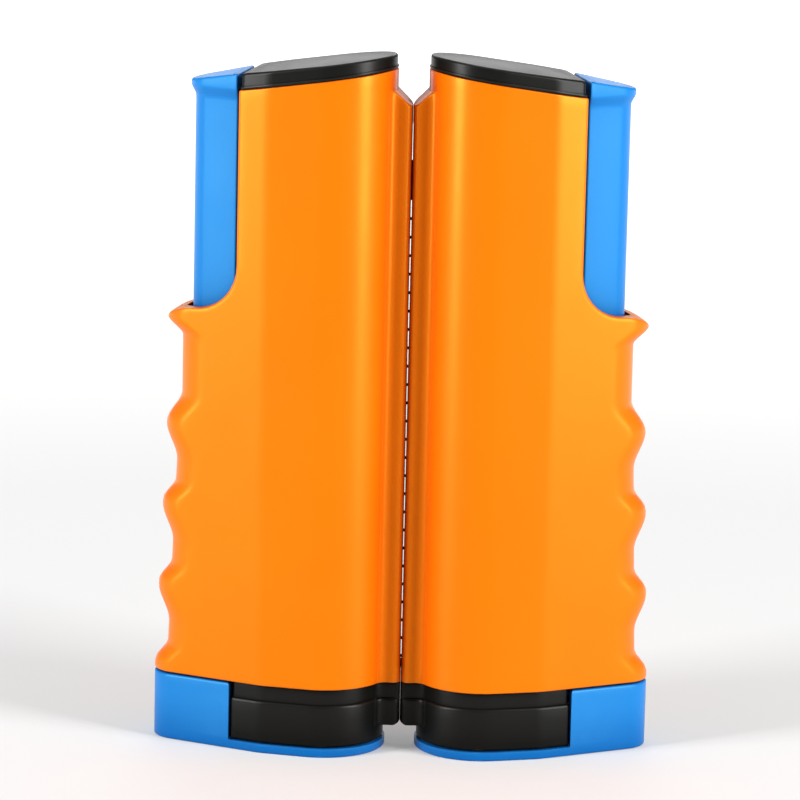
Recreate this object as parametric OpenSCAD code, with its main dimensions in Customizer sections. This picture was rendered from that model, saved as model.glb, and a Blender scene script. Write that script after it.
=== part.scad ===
// Pair of table tennis net clamps with a retractable net between them.
// X runs across the pair, Y from front to back, Z up. The pair is centred on the
// origin and stands on Z = 0. Each post is drawn in its own frame: u runs outward
// from the seam between the posts, y to the back, z up. The left post is the
// mirror image of the right one. Millimetres throughout.

/* [Pair] */
// Angle that each post is turned back from the seam
splay = 9; // [0:0.5:15]
// Free gap between the two net slots when the posts are together
seam_gap = 0.3; // [0.2:0.1:2]

/* [Handle plan] */
// Distance from the seam to the reel axis, the centre of the nose
nose_u = 22.5; // [21:0.5:24]
// Radius of the rounded nose around the net roll
nose_r = 18; // [17.5:0.1:19]
// Distance from the seam to the centre of the widest belly
belly_u = 34; // [32:0.5:36]
// Radius of the belly
belly_r = 17; // [16.5:0.1:17.5]
// Distance from the seam to the centre of the finger end
finger_u = 62.4; // [62:0.1:63]
// Radius of the finger end
finger_r = 8.5; // [8:0.1:9]
// Wall thickness of the handle shells
wall = 2; // [1.6:0.1:2.2]
// Half thickness of the lip around the net slot
lip_half = 4.5; // [4:0.1:5]
// Radius on the front and back corners of the lip
lip_r = 2.2; // [1:0.1:2.2]
// Radius of the fillet between the lip and the nose
fillet_r = 3; // [2:0.1:3]
// Width of the slot that the net runs through
slot_w = 2.4; // [1.5:0.1:3]

/* [Handle heights] */
// Height of the flat lower edge of the handle
body_z = 19.5; // [19:0.1:21]
// Height of the handle's slanted top edge at the seam
top_seam_z = 193.6; // [192:0.1:195]
// Fall of the top edge for each millimetre outward
top_fall = 0.152; // [0.1:0.01:0.2]
// Distance from the seam to the flat face behind the thumb lever
face_u = 46.4; // [46.2:0.1:46.4]
// Radius of the sweep from that face out to the ledge
sweep_r = 13; // [12:0.5:13]
// Height of the ledge where the sweep meets it
ledge_z = 124.8; // [123:0.1:126]
// Height of the outer tip of the ledge
tip_z = 121.5; // [120:0.1:122.5]
// Height of the lip's upper corner at the seam
lip_top_z = 183.4; // [182:0.1:184]
// Rise of the lip's slanted top towards the nose
lip_rise = 3.6; // [2:0.1:4]

/* [Finger grip] */
// Distance from the seam to the lowest crest
crest_u = 70.9; // [70:0.1:70.9]
// Height of the lowest crest
crest_z = 20.5; // [20:0.1:21]
// Height from one crest to the next
crest_pitch = 23.5; // [23:0.1:24]
// How much each crest stands in for each millimetre of height
crest_lean = 0.0375; // [0.03:0.0025:0.045]
// Depth of the finger hollows
hollow_depth = 3.5; // [1:0.1:3.6]
// Share of the pitch that is flat above each crest
crest_flat = 0.04; // [0:0.01:0.1]
// Share of the pitch that the steep side above each crest takes
ramp_in = 0.27; // [0.2:0.01:0.4]
// Share of the pitch that the gentle side below each crest takes
ramp_out = 0.45; // [0.4:0.01:0.55]
// Number of hollows between crests
hollows = 3; // [3:1:3]
// Depth of the longer hollow under the ledge
rest_depth = 4.4; // [3:0.1:4.6]
// Height over which that hollow deepens above the top crest
rest_run = 9; // [6:0.5:12]
// Height over which that hollow runs out under the tip
tip_run = 5.5; // [4:0.5:8]

/* [Top cap] */
// Height of the cap's rim at the seam
cap_seam_z = 197.7; // [197:0.1:198]
// Fall of the cap's rim for each millimetre outward
cap_fall = 0.14; // [0.13:0.002:0.15]
// Height of the crown over the rim
cap_crown = 1.1; // [0:0.1:1.5]
// Depth that the cap's plug reaches into the handle
cap_plug = 4; // [2:0.5:5]

/* [Jaws] */
// Distance from the seam to the split between the black and blue jaws
split_u = 46.2; // [46:0.1:46.4]
// Gap at that split
split_gap = 0.6; // [0.3:0.1:0.6]
// Thickness of the lower jaw's plate
plate_h = 2.5; // [2.2:0.1:3]
// Height of the upper jaw's gripping face when the clamp is shut
grip_z = 3.0; // [2.9:0.05:3.4]
// Height of the step between the upper jaw and the base cap
tier_z = 15; // [14:0.5:16]
// Height of the top of the lower jaw's block
block_z = 19; // [18:0.1:19.1]
// Height of the underside of the foot below the net slot
foot_z = 7; // [6:0.5:9]
// Radius on the lower corner of that foot
foot_r = 2.5; // [1:0.5:3]
// How far the upper jaw stands in from the handle's outline
jaw_inset = 0.5; // [0.3:0.1:1]
// How far the base cap stands in from the handle's outline
band_inset = 1.2; // [0.8:0.1:1.5]
// How far the rubber pads stand in from the outline
pad_inset = 3; // [2.5:0.5:5]
// Thickness of each rubber pad
pad_h = 1.4; // [1:0.1:1.5]
// How far each pad stands proud of its pocket
pad_proud = 0.2; // [0.1:0.05:0.2]

/* [Thumb lever] */
// Distance from the seam to the lever's flat face
lever_face_u = 47.1; // [47:0.1:47.4]
// Distance from the seam to the lever's outer face
lever_u = 61.1; // [60:0.1:61.2]
// Radius of the lever's outer edge
lever_r = 6.8; // [6:0.1:7]
// Radius that the lever widens to at the flat face
lever_root_r = 10.2; // [9:0.1:10.4]
// Height of the underside of the thumb pad
pad_z = 184; // [184:0.5:186]
// How far the thumb pad flares beyond the lever
pad_flare = 1.3; // [0.5:0.1:1.4]
// Height of the thumb pad's outer edge
pad_low_z = 188.2; // [187:0.1:189]
// Height of the thumb pad where it meets the handle's face
pad_high_z = 191; // [190:0.1:191.2]
// Height where the lever's wide part ends inside the handle
wide_z = 112; // [111:0.5:116]
// Distance from the seam to the inner side of the rod
rod_u = 52; // [51.5:0.1:53]
// Width of the rod outward
rod_w = 8.5; // [6:0.1:8.5]
// Thickness of the rod from front to back
rod_t = 8; // [6:0.1:9]
// Height of the rod's lower end in the lower jaw
rod_z = 6; // [5:0.5:8]
// Clearance around the rod in the base cap
rod_clear = 0.35; // [0.3:0.05:0.6]

/* [Net and reel] */
// Height of the net's lower edge
net_z = 23.2; // [23:0.1:24]
// Height of the net from edge to edge
net_h = 144.5; // [140:0.5:144.8]
// Thickness of the net strip
net_t = 0.5; // [0.4:0.1:1]
// Outer radius of the wound net
roll_r = 12.5; // [10:0.1:12.6]
// Radius of the reel's core
core_r = 4.5; // [3:0.1:5]
// Radius of the fixed axle
axle_r = 1.5; // [1:0.1:2]
// Running clearance between axle and core
axle_fit = 0.05; // [0.02:0.01:0.1]
// Outer radius of the retracting spring's drum
drum_r = 13.2; // [12:0.1:13.5]
// Height of the drum
drum_h = 10; // [9:0.5:10.5]
// Thickness of the axle's top bracket
bracket_h = 2.5; // [2:0.1:3]

/* [Springs] */
// Distance from the seam to the return spring's axis
spring_u = 47; // [46.9:0.05:47.1]
// Mean radius of the return spring
spring_r = 3.2; // [3:0.1:3.3]
// Radius of the return spring's wire
wire_r = 0.5; // [0.4:0.05:0.5]
// Number of turns of the return spring
spring_turns = 14; // [8:1:16]
// Height of the return spring's lower end
spring_z = 24; // [24:0.1:25]
// Height of the top of the pin inside the return spring
guide_z = 60; // [40:1:60]
// Number of turns of the retracting spring
strip_turns = 5; // [3:1:6]
// Thickness of the retracting spring's strip
strip_t = 0.6; // [0.3:0.1:0.8]

/* [Screws] */
// Distance from the seam to the shell screws
boss_u = 39; // [38.9:0.05:39.1]
// Outer radius of the screw bosses
boss_r = 3.5; // [3:0.1:3.6]
// Heights of the shell screws
boss_zs = [34, 100, 166]; // [30:1:170]
// Radius of the screw shafts
screw_r = 1.3; // [1:0.1:1.5]
// Radius of the screw heads
head_r = 2.4; // [2:0.1:2.5]
// Height of the screw heads
head_h = 1.6; // [1:0.1:2]

/* [Hidden] */
$fn = 64;
SIDES = ["left", "right"];
PIECES = ["shell_front", "shell_back", "shell_screws", "top_cap", "base_cap", "upper_jaw",
          "upper_pad", "axle_bracket", "reel_axle", "spring_guide", "net_web",
          "lever", "lower_jaw", "lower_pad", "jaw_screws", "return_spring",
          "reel_spool", "spring_drum", "retract_spring", "net_roll"];

far = 300;
over = 1;
fit = 0.1;
grip_steps = 60;
arc_steps = 14;
corner_steps = 6;
// Angle at which the arcs of a plan stop short of the u axis, and of each other
axis_gap = 3;
arc_gap = 1;
sweep_u = face_u + sweep_r;
sweep_z = ledge_z + sweep_r;
// The ledge's rounded edge is level where it leaves the sweep, and ends at the tip.
tip_out = crest_u - crest_lean * hollows * crest_pitch - sweep_u;
ledge_r = (pow(tip_out, 2) + pow(ledge_z - tip_z, 2)) / (2 * (ledge_z - tip_z));
hollows_top = crest_z + hollows * crest_pitch;
// Innermost points of the lip's two corners; its mouth lies parallel to the seam.
lip_u = lip_corner(1).x - lip_r;
lip_front_u = lip_corner(-1).x - lip_r;
// The belly's back and the nose's front are the pair's extremes in depth.
depth_mid = ((belly_u + nose_u) * sin(splay) + belly_r - nose_r) / 2;
nose_lean = lean(nose_u, nose_r, belly_u, belly_r);
flank_lean = lean(belly_u, belly_r, finger_u, finger_r);
fillet_u = nose_u - sqrt(pow(nose_r + fillet_r, 2) - pow(lip_half + fillet_r, 2));
fillet_end = 330;
cap_setback = 0.3;
cap_end_u = face_u - cap_setback;
plug_inset = wall + fit;
floor_h = 3;
floor_z = body_z + floor_h;
floor_end_u = 68.2;
lever_c = lever_u - lever_r;
lever_root_u = 46;
arm_u = spring_u - spring_r - wire_r;
arm_h = 6;
lip_edge = 0.5;
slot_rise = 11;
slot_top = net_z + net_h + slot_rise;
slot_out = 1.6;
slot_side = 0.5;
// The drum and the bracket above it end below the cap's plug.
drum_gap = 0.6;
drum_z = net_z + net_h + drum_gap;
drum_wall = 1;
strip_hub = 1;
bracket_gap = 1;
bracket_z = drum_z + drum_h + bracket_gap;
roll_clear = 0.3;
web_gap = 0.4;
web_u = nose_u - nose_r + wall + web_gap;
web_end = seam_gap / 8;
screw_tip = 6;
jaw_screw_in = 1.65;
jaw_screw_us = [rod_u + jaw_screw_in, rod_u + rod_w - jaw_screw_in];
guide_clear = 0.5;
jaw_head_z = 0.6;
head_depth = 5;
head_seat = belly_r - head_depth;
jaw_screw_r = 1.2;
jaw_screw_top = 14;

orange = [0.98, 0.5, 0.05];
black = [0.12, 0.12, 0.12];
blue = [0.17, 0.54, 0.88];
rubber = [0.2, 0.2, 0.21];
steel = [0.75, 0.76, 0.78];
white = [0.92, 0.92, 0.9];
navy = [0.1, 0.14, 0.3];

function top_z(u) = top_seam_z - top_fall * u;
function cap_z(u) = cap_seam_z - cap_fall * u;

// Outer edge of the finger grip at height z: a leaning row of crests and hollows.
function crest_line(z) = crest_u - crest_lean * (z - crest_z);
function phase(z) = let (n = (z - crest_z) / crest_pitch) n - floor(n);
function ease(t) = let (x = min(max(t, 0), 1)) x * x * (3 - 2 * x);
function hollow(z) = let (p = phase(z))
    hollow_depth * min(ease((p - crest_flat) / ramp_in), ease((1 - p) / ramp_out));
function rest(z) = rest_depth * min(ease((z - hollows_top) / rest_run), ease((tip_z - z) / tip_run));
function grip_u(z) = z < hollows_top
    ? crest_line(z) - hollow(z)
    : crest_line(hollows_top) - rest(z);

// Points along an arc, ends included.
function arc(centre, r, from, to, steps) =
    [for (i = [0 : steps]) let (a = from + (to - from) * i / steps) centre + r * [cos(a), sin(a)]];

// Side outline of the handle, taken in by t on every side but the open ends.
function side_points(t) =
    let (low = t > 0 ? body_z - over : body_z, step = (tip_z - body_z) / grip_steps,
         round_r = ledge_r - t, round_from = acos((grip_u(tip_z) - t - sweep_u) / round_r))
    concat(
        [[0, low], [grip_u(body_z) - t, low]],
        [for (i = [1 : grip_steps - 1]) let (z = body_z + i * step) [grip_u(z) - t, z]],
        arc([sweep_u, ledge_z - ledge_r], round_r, round_from, 90, corner_steps),
        arc([sweep_u, sweep_z], sweep_r + t, 270, 180, arc_steps),
        [[face_u - t, t > 0 ? far : top_z(face_u)], [0, t > 0 ? far : top_z(0)]]);

// Lean of the straight flank that joins two circles on the u axis.
function lean(c1, r1, c2, r2) = asin((r1 - r2) / (c2 - c1));

// Closed outline, mirrored about the u axis, from the points of its back half.
function whole(half) = concat(half, [for (i = [len(half) - 1 : -1 : 0]) [half[i].x, -half[i].y]]);

// Plan of the handle, taken in by t: nose, belly and finger end with straight flanks.
module plan(t = 0) {
    polygon(whole(concat(
        arc([nose_u, 0], nose_r - t, 180 - axis_gap, 90 - nose_lean, arc_steps),
        arc([belly_u, 0], belly_r - t, 90 - nose_lean - arc_gap, 90 - flank_lean, corner_steps),
        arc([finger_u, 0], finger_r - t, 90 - flank_lean, axis_gap, arc_steps))));
}

// Centre of the lip's back corner, for end = 1, or its front corner, for end = -1.
function lip_corner(end) =
    [(seam_gap / 2 + lip_r + end * (lip_half - lip_r) * sin(splay)) / cos(splay), end * (lip_half - lip_r)];

// Plan of the lip around the net slot, with its fillets into the nose.
module lip_plan(t = 0) {
    fillet_v = lip_half + fillet_r;
    polygon(concat(
        arc(lip_corner(1), lip_r - t, 180 - splay, 90, corner_steps),
        arc([fillet_u, fillet_v], fillet_r + t, 270, fillet_end, corner_steps),
        [[nose_u / 2, lip_half], [nose_u / 2, -lip_half]],
        arc([fillet_u, -fillet_v], fillet_r + t, 360 - fillet_end, 90, corner_steps),
        arc(lip_corner(-1), lip_r - t, 270, 180 - splay, corner_steps)));
}

// Extrusion of a plan between two heights.
module slab(z0, z1) {
    translate([0, 0, z0]) linear_extrude(z1 - z0) children();
}

// Extrusion of a side outline in u and z through the whole depth.
module side_block() {
    rotate([90, 0, 0]) translate([0, 0, -far / 2]) linear_extrude(far) children();
}

// Half space on the seam side of u = limit.
module inner_side(limit) {
    translate([limit - far, -far / 2, -far / 2]) cube([far, far, 2 * far]);
}

module outer_side(limit) {
    translate([limit, -far / 2, -far / 2]) cube([far, far, 2 * far]);
}

// Outside of the handle and lip as one solid.
module handle_solid() {
    intersection() {
        slab(body_z, top_z(0)) plan();
        side_block() polygon(side_points(0));
    }
    intersection() {
        slab(body_z, top_z(0)) lip_plan();
        side_block() polygon([
            [lip_front_u, body_z],
            [nose_u, body_z],
            [nose_u, top_z(nose_u)],
            [nose_u - nose_r + lip_edge, lip_top_z + lip_rise + lip_edge],
            [nose_u - nose_r, lip_top_z + lip_rise],
            [lip_u + lip_edge, lip_top_z + lip_edge],
            [lip_u, lip_top_z - lip_edge],
            [lip_front_u, lip_top_z - lip_edge]]);
    }
}

// Space inside the handle, with the net slot and the lever's opening.
module handle_cavity() {
    intersection() {
        slab(body_z - over, far) plan(wall);
        side_block() polygon(side_points(wall));
    }
    slab(net_z - roll_clear, slot_top) translate([-over, -slot_w / 2]) square([nose_u, slot_w]);
    slab(wide_z + arm_h, far / 2) {
        lever_plan(slot_side);
        translate([slot_out - slot_side, 0]) lever_plan(slot_side);
    }
}

// Plan of the lever, grown by grow: flat towards the handle, round on the outside.
module lever_plan(grow = 0) {
    a = lean(lever_root_u, lever_root_r, lever_c, lever_r);
    face = lever_face_u - grow;
    half = (lever_root_r + grow - (face - lever_root_u) * sin(a)) / cos(a);
    polygon(whole(concat([[face, half]], arc([lever_c, 0], lever_r + grow, 90 - a, axis_gap, arc_steps))));
}

// Screw axes through the bosses, pointing from back to front.
module at_bosses() {
    for (z = boss_zs) translate([boss_u, 0, z]) rotate([90, 0, 0]) children();
}

module bosses() {
    intersection() {
        at_bosses() cylinder(r = boss_r, h = far, center = true);
        slab(body_z, far) plan(wall / 2);
    }
}

module screw_cuts() {
    at_bosses() translate([0, 0, -far / 2]) cylinder(r = head_r, h = far / 2 - head_seat + head_h);
    at_bosses() translate([0, 0, -head_seat]) cylinder(r = screw_r, h = head_seat + screw_tip);
}

module shell_half(front) {
    color(orange) difference() {
        intersection() {
            union() {
                difference() {
                    handle_solid();
                    handle_cavity();
                }
                bosses();
            }
            translate([-far / 2, front ? -far : 0, 0]) cube(far);
        }
        screw_cuts();
    }
}

module shell_front() { shell_half(true); }

module shell_back() { shell_half(false); }

module shell_screws() {
    color(steel) at_bosses() {
        translate([0, 0, -head_seat]) cylinder(r = head_r, h = head_h);
        translate([0, 0, -head_seat]) cylinder(r = screw_r, h = head_seat + screw_tip);
    }
}

module top_cap() {
    steps = 2 * arc_steps;
    color(black) {
        intersection() {
            slab(0, far) plan();
            side_block() polygon(concat(
                [[0, top_z(0)], [cap_end_u, top_z(cap_end_u)]],
                [for (i = [0 : steps]) let (u = cap_end_u * (1 - i / steps))
                    [u, cap_z(u) + cap_crown * sin(180 * i / steps)]]));
        }
        intersection() {
            slab(0, far) plan(plug_inset);
            side_block() polygon([
                [0, top_z(0) - cap_plug],
                [face_u - plug_inset, top_z(face_u) - cap_plug],
                [face_u - plug_inset, top_z(face_u) + over],
                [0, top_z(0) + over]]);
        }
    }
}

module base_cap() {
    color(black) difference() {
        union() {
            intersection() {
                union() {
                    slab(tier_z, body_z) plan(band_inset);
                    slab(tier_z, body_z) lip_plan(jaw_inset);
                }
                inner_side(split_u);
            }
            intersection() {
                slab(body_z, floor_z) plan(plug_inset);
                inner_side(floor_end_u);
            }
        }
        translate([nose_u, 0, body_z]) cylinder(r = axle_r, h = floor_z);
        slab(0, far) rod_plan(rod_clear);
    }
}

module upper_jaw() {
    color(black) difference() {
        intersection() {
            union() {
                slab(grip_z, tier_z) plan(jaw_inset);
                intersection() {
                    slab(foot_z, tier_z) lip_plan();
                    side_block() polygon(concat(
                        arc([lip_front_u + foot_r, foot_z + foot_r], foot_r, 180, 270, corner_steps),
                        [[nose_u, foot_z], [nose_u, tier_z], [lip_front_u, tier_z]]));
                }
            }
            inner_side(split_u);
        }
        pad_block(grip_z - over, grip_z - pad_proud + pad_h);
    }
}

module pad_block(z0, z1) {
    intersection() {
        slab(z0, z1) plan(pad_inset);
        inner_side(split_u - pad_inset);
    }
}

module upper_pad() {
    color(rubber) pad_block(grip_z - pad_proud, grip_z - pad_proud + pad_h);
}

module lower_pad() {
    color(rubber) pad_block(plate_h + pad_proud - pad_h, plate_h + pad_proud);
}

module lower_jaw() {
    color(blue) difference() {
        union() {
            slab(0, plate_h) plan();
            intersection() {
                slab(0, block_z) plan();
                outer_side(split_u + split_gap);
            }
        }
        pad_block(plate_h + pad_proud - pad_h, far);
        slab(rod_z, far) rod_plan(0);
        for (u = jaw_screw_us) translate([u, 0, -over]) {
            cylinder(r = jaw_screw_r, h = far);
            cylinder(r = head_r, h = over + jaw_head_z + head_h);
        }
    }
}

module jaw_screws() {
    color(steel) for (u = jaw_screw_us) translate([u, 0, jaw_head_z]) {
        cylinder(r = head_r, h = head_h);
        cylinder(r = jaw_screw_r, h = jaw_screw_top - jaw_head_z);
    }
}

module rod_plan(grow) {
    translate([rod_u - grow, -rod_t / 2 - grow]) square([rod_w + 2 * grow, rod_t + 2 * grow]);
}

module lever() {
    color(blue) difference() {
        union() {
            slab(wide_z, pad_z) lever_plan();
            intersection() {
                slab(pad_z, pad_high_z) lever_plan(pad_flare);
                side_block() polygon([
                    [lever_face_u, pad_z],
                    [lever_u + pad_flare, pad_z],
                    [lever_u + pad_flare, pad_low_z],
                    [lever_face_u, pad_high_z]]);
            }
            slab(rod_z, wide_z) rod_plan(0);
            translate([arm_u, -rod_t / 2, wide_z]) cube([rod_u - arm_u, rod_t, arm_h]);
        }
        for (u = jaw_screw_us) translate([u, 0, 0]) cylinder(r = jaw_screw_r, h = jaw_screw_top);
    }
}

module axle_bracket() {
    color(black) difference() {
        intersection() {
            slab(bracket_z, bracket_z + bracket_h) plan(plug_inset);
            inner_side(face_u - plug_inset);
        }
        translate([nose_u, 0, 0]) cylinder(r = axle_r, h = far);
    }
}

module reel_axle() {
    color(steel) slab(body_z, bracket_z + bracket_h) translate([nose_u, 0]) circle(axle_r);
}

module ring(z, h, outer, inner) {
    translate([nose_u, 0, z]) difference() {
        cylinder(r = outer, h = h);
        translate([0, 0, -over]) cylinder(r = inner, h = h + 2 * over);
    }
}

module reel_spool() {
    color(white) ring(net_z, drum_z - net_z, core_r, axle_r + axle_fit);
}

module net_roll() {
    color(navy) ring(net_z, net_h, roll_r, core_r);
}

module spring_drum() {
    color(black) {
        ring(drum_z, drum_wall, drum_r, axle_r + axle_fit);
        ring(drum_z + drum_wall, drum_h - drum_wall, drum_r, drum_r - drum_wall);
    }
}

// Flat spiral strip between the axle and the drum's wall.
module retract_spring() {
    r0 = axle_r + strip_hub;
    r1 = drum_r - drum_wall;
    steps = 24 * strip_turns;
    function spiral(r_end, i) = let (a = 360 * strip_turns * i / steps, r = r0 + (r_end - r0) * i / steps)
        [r * cos(a), r * sin(a)];
    color(steel) slab(drum_z + drum_wall + fit, drum_z + drum_h - drum_wall) translate([nose_u, 0])
        polygon(concat(
            [for (i = [0 : steps]) spiral(r1 - fit, i)],
            [for (i = [steps : -1 : 0]) spiral(r1 - fit, i) * (1 - strip_t / norm(spiral(r1, i)))]));
}

// Net strip from the roll, through the slot, to the seam.
module net_web() {
    reach = nose_u - web_u;
    swing = acos((roll_r + roll_clear) / reach);
    run = sqrt(reach * reach - pow(roll_r + roll_clear, 2));
    color(navy) slab(net_z, net_z + net_h) {
        translate([web_end, -net_t / 2]) square([web_u - web_end, net_t]);
        translate([web_u, 0]) rotate(90 - swing) square([run, net_t]);
    }
}

module spring_guide() {
    color(steel) translate([spring_u, 0, 0]) {
        translate([0, 0, floor_z]) cylinder(r = spring_r + wire_r, h = spring_z - floor_z);
        translate([0, 0, spring_z]) cylinder(r = spring_r - wire_r - guide_clear, h = guide_z - spring_z);
    }
}

// Coil spring: a six-sided wire swept along a helix.
module return_spring() {
    sides = 6;
    per_turn = 12;
    rings = spring_turns * per_turn;
    rise = wide_z - spring_z - 2 * wire_r;
    points = [for (i = [0 : rings]) for (k = [0 : sides - 1])
        let (a = 360 * i / per_turn, b = 360 * k / sides, r = spring_r + wire_r * cos(b))
        [r * cos(a), r * sin(a), wire_r + rise * i / rings + wire_r * sin(b)]];
    walls = [for (i = [0 : rings - 1]) for (k = [0 : sides - 1])
        for (half = [0, 1])
            let (n = (k + 1) % sides, near = i * sides, next = near + sides)
            half == 0 ? [near + k, next + k, next + n] : [near + k, next + n, near + n]];
    ends = [[for (k = [0 : sides - 1]) k], [for (k = [sides - 1 : -1 : 0]) rings * sides + k]];
    color(steel) translate([spring_u, 0, spring_z]) polyhedron(points, concat(walls, ends));
}

// Puts a post's own frame in place on one side of the pair.
module place(side) {
    translate([0, -depth_mid, 0])
        mirror([side == "left" ? 1 : 0, 0, 0])
            rotate([0, 0, splay])
                children();
}

module draw(side, piece) {
    place(side) children();
}

for (side = SIDES) {
    draw(side, "shell_front") shell_front();
    draw(side, "shell_back") shell_back();
    draw(side, "shell_screws") shell_screws();
    draw(side, "top_cap") top_cap();
    draw(side, "base_cap") base_cap();
    draw(side, "upper_jaw") upper_jaw();
    draw(side, "upper_pad") upper_pad();
    draw(side, "axle_bracket") axle_bracket();
    draw(side, "reel_axle") reel_axle();
    draw(side, "spring_guide") spring_guide();
    draw(side, "net_web") net_web();
    draw(side, "lever") lever();
    draw(side, "lower_jaw") lower_jaw();
    draw(side, "lower_pad") lower_pad();
    draw(side, "jaw_screws") jaw_screws();
    draw(side, "return_spring") return_spring();
    draw(side, "reel_spool") reel_spool();
    draw(side, "spring_drum") spring_drum();
    draw(side, "retract_spring") retract_spring();
    draw(side, "net_roll") net_roll();
}
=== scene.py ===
"""Looks of a pair of table tennis net clamps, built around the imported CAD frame.

Each post is made in its own frame, in millimetres: u runs outward from the seam between
the posts, y to the back, z up. place() puts it on its side of the pair, in metres.
"""
import bmesh
import bpy
import math
import numpy as np
from mathutils import Matrix, Vector


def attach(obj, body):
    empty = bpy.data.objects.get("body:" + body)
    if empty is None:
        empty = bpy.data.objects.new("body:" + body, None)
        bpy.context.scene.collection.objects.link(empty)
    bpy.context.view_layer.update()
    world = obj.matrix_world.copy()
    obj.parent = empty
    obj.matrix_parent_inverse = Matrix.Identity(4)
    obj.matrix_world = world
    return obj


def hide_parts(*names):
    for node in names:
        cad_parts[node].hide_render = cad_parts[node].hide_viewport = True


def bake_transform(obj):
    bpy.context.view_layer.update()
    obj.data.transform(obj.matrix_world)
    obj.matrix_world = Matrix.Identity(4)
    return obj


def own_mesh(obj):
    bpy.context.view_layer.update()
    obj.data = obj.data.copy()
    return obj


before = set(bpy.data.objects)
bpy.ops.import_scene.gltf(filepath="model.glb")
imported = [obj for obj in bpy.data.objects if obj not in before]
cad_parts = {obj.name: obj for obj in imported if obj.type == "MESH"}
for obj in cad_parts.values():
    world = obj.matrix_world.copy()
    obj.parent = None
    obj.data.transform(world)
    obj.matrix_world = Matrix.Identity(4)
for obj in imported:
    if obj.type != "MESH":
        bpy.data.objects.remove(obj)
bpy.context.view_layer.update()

# ---------------------------------------------------------------- sizes, in millimetres
SPLAY = math.radians(9)
NOSE_U, NOSE_R = 22.5, 18.0
BELLY_U, BELLY_R = 34.0, 17.0
FINGER_U, FINGER_R = 62.4, 8.5
DEPTH_MID = ((BELLY_U + NOSE_U) * math.sin(SPLAY) + BELLY_R - NOSE_R) / 2
WALL = 2.0
LIP_HALF, LIP_R, FILLET_R = 4.5, 2.2, 3.0
SEAM_GAP = 0.3
MOUTH_INSET, OPEN_INSET, NET_INSET = -0.13, -0.08, -0.02
FILLET_U = NOSE_U - math.sqrt((NOSE_R + FILLET_R) ** 2 - (LIP_HALF + FILLET_R) ** 2)
FILLET_TURN = math.degrees(math.asin((LIP_HALF + FILLET_R) / (NOSE_R + FILLET_R)))
SLOT_HALF = 1.2
SLOT_LOW, SLOT_HIGH = 23.0, 178.6
BODY_Z = 19.5
FACE_U = 46.4
SWEEP_R = 13.0
SWEEP_U = FACE_U + SWEEP_R
LEDGE_Z, TIP_Z = 124.8, 121.5
SWEEP_Z = LEDGE_Z + SWEEP_R
LIP_TOP_Z, LIP_RISE = 183.4, 3.6
CREST_U, CREST_Z, PITCH, CREST_LEAN = 70.9, 20.5, 23.5, 0.0375
HOLLOWS = 3
HOLLOW_DEPTH, CREST_FLAT, RAMP_IN, RAMP_OUT = 3.5, 0.04, 0.27, 0.45
REST_DEPTH, REST_RUN, TIP_RUN = 4.4, 9.0, 5.5
SPLIT_U, SPLIT_GAP = 46.2, 0.6
CAP_END_U = FACE_U - 0.3
PLATE_H, GRIP_Z, TIER_Z, BLOCK_Z = 2.5, 3.0, 15.0, 19.0
FLOOR_Z, FLOOR_END_U = 22.5, 68.2
FOOT_Z, FOOT_R = 7.0, 2.5
JAW_INSET, BAND_INSET, PAD_INSET = 0.5, 1.2, 3.0
PAD_H, PAD_PROUD = 1.4, 0.2
LEVER_FACE_U, LEVER_U, LEVER_R, LEVER_ROOT_U, LEVER_ROOT_R = 47.1, 61.1, 6.8, 46.0, 10.2
LEVER_C = LEVER_U - LEVER_R
PAD_Z, PAD_FLARE, PAD_LOW_Z, PAD_HIGH_Z = 184.0, 1.3, 188.2, 191.0
WIDE_Z, ARM_H = 112.0, 6.0
ROD_U, ROD_W, ROD_T, ROD_Z, ROD_CLEAR = 52.0, 8.5, 8.0, 6.0, 0.35
NET_Z, NET_H, ROLL_R, CORE_R = 23.2, 144.5, 12.5, 4.5
SPRING_U, SPRING_R, WIRE_R, SPRING_Z, SPRING_TURNS = 47.0, 3.2, 0.5, 24.0, 14
BOSS_U, BOSS_R, BOSS_ZS, BOSS_END = 39.0, 3.5, (34.0, 100.0, 166.0), 14.95
HEAD_R, HEAD_H, HEAD_SEAT, SCREW_R, SCREW_TIP = 2.4, 1.6, 12.0, 1.3, 6.0
JAW_SCREW_US, JAW_SCREW_R, JAW_HEAD_Z, JAW_SCREW_TOP = (53.65, 58.85), 1.2, 0.6, 14.0

NOSE_ANGLE = math.pi / 2 - math.asin((NOSE_R - BELLY_R) / (BELLY_U - NOSE_U))
SIN_F = (BELLY_R - FINGER_R) / (FINGER_U - BELLY_U)
FLANK = math.asin(SIN_F)
COS_F, TAN_F = math.cos(FLANK), math.tan(FLANK)
FLANK_ANGLE = math.pi / 2 - FLANK
APEX_U = BELLY_U + BELLY_R / SIN_F
TIP_U = CREST_U - CREST_LEAN * HOLLOWS * PITCH
LEDGE_R = ((TIP_U - SWEEP_U) ** 2 + (LEDGE_Z - TIP_Z) ** 2) / (2 * (LEDGE_Z - TIP_Z))
HOLLOWS_TOP = CREST_Z + HOLLOWS * PITCH
SIDES = {"left": -1, "right": 1}


def top_z(u):
    return 193.6 - 0.152 * u


def cap_z(u):
    return 197.7 - 0.14 * u


def ease(t):
    t = min(max(t, 0.0), 1.0)
    return t * t * (3 - 2 * t)


def grip_u(z):
    """Outermost point of the finger grip at height z."""
    if z >= HOLLOWS_TOP:
        return TIP_U - REST_DEPTH * min(ease((z - HOLLOWS_TOP) / REST_RUN), ease((TIP_Z - z) / TIP_RUN))
    share = ((z - CREST_Z) / PITCH) % 1.0
    hollow = HOLLOW_DEPTH * min(ease((share - CREST_FLAT) / RAMP_IN), ease((1 - share) / RAMP_OUT))
    return CREST_U - CREST_LEAN * (z - CREST_Z) - hollow


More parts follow.
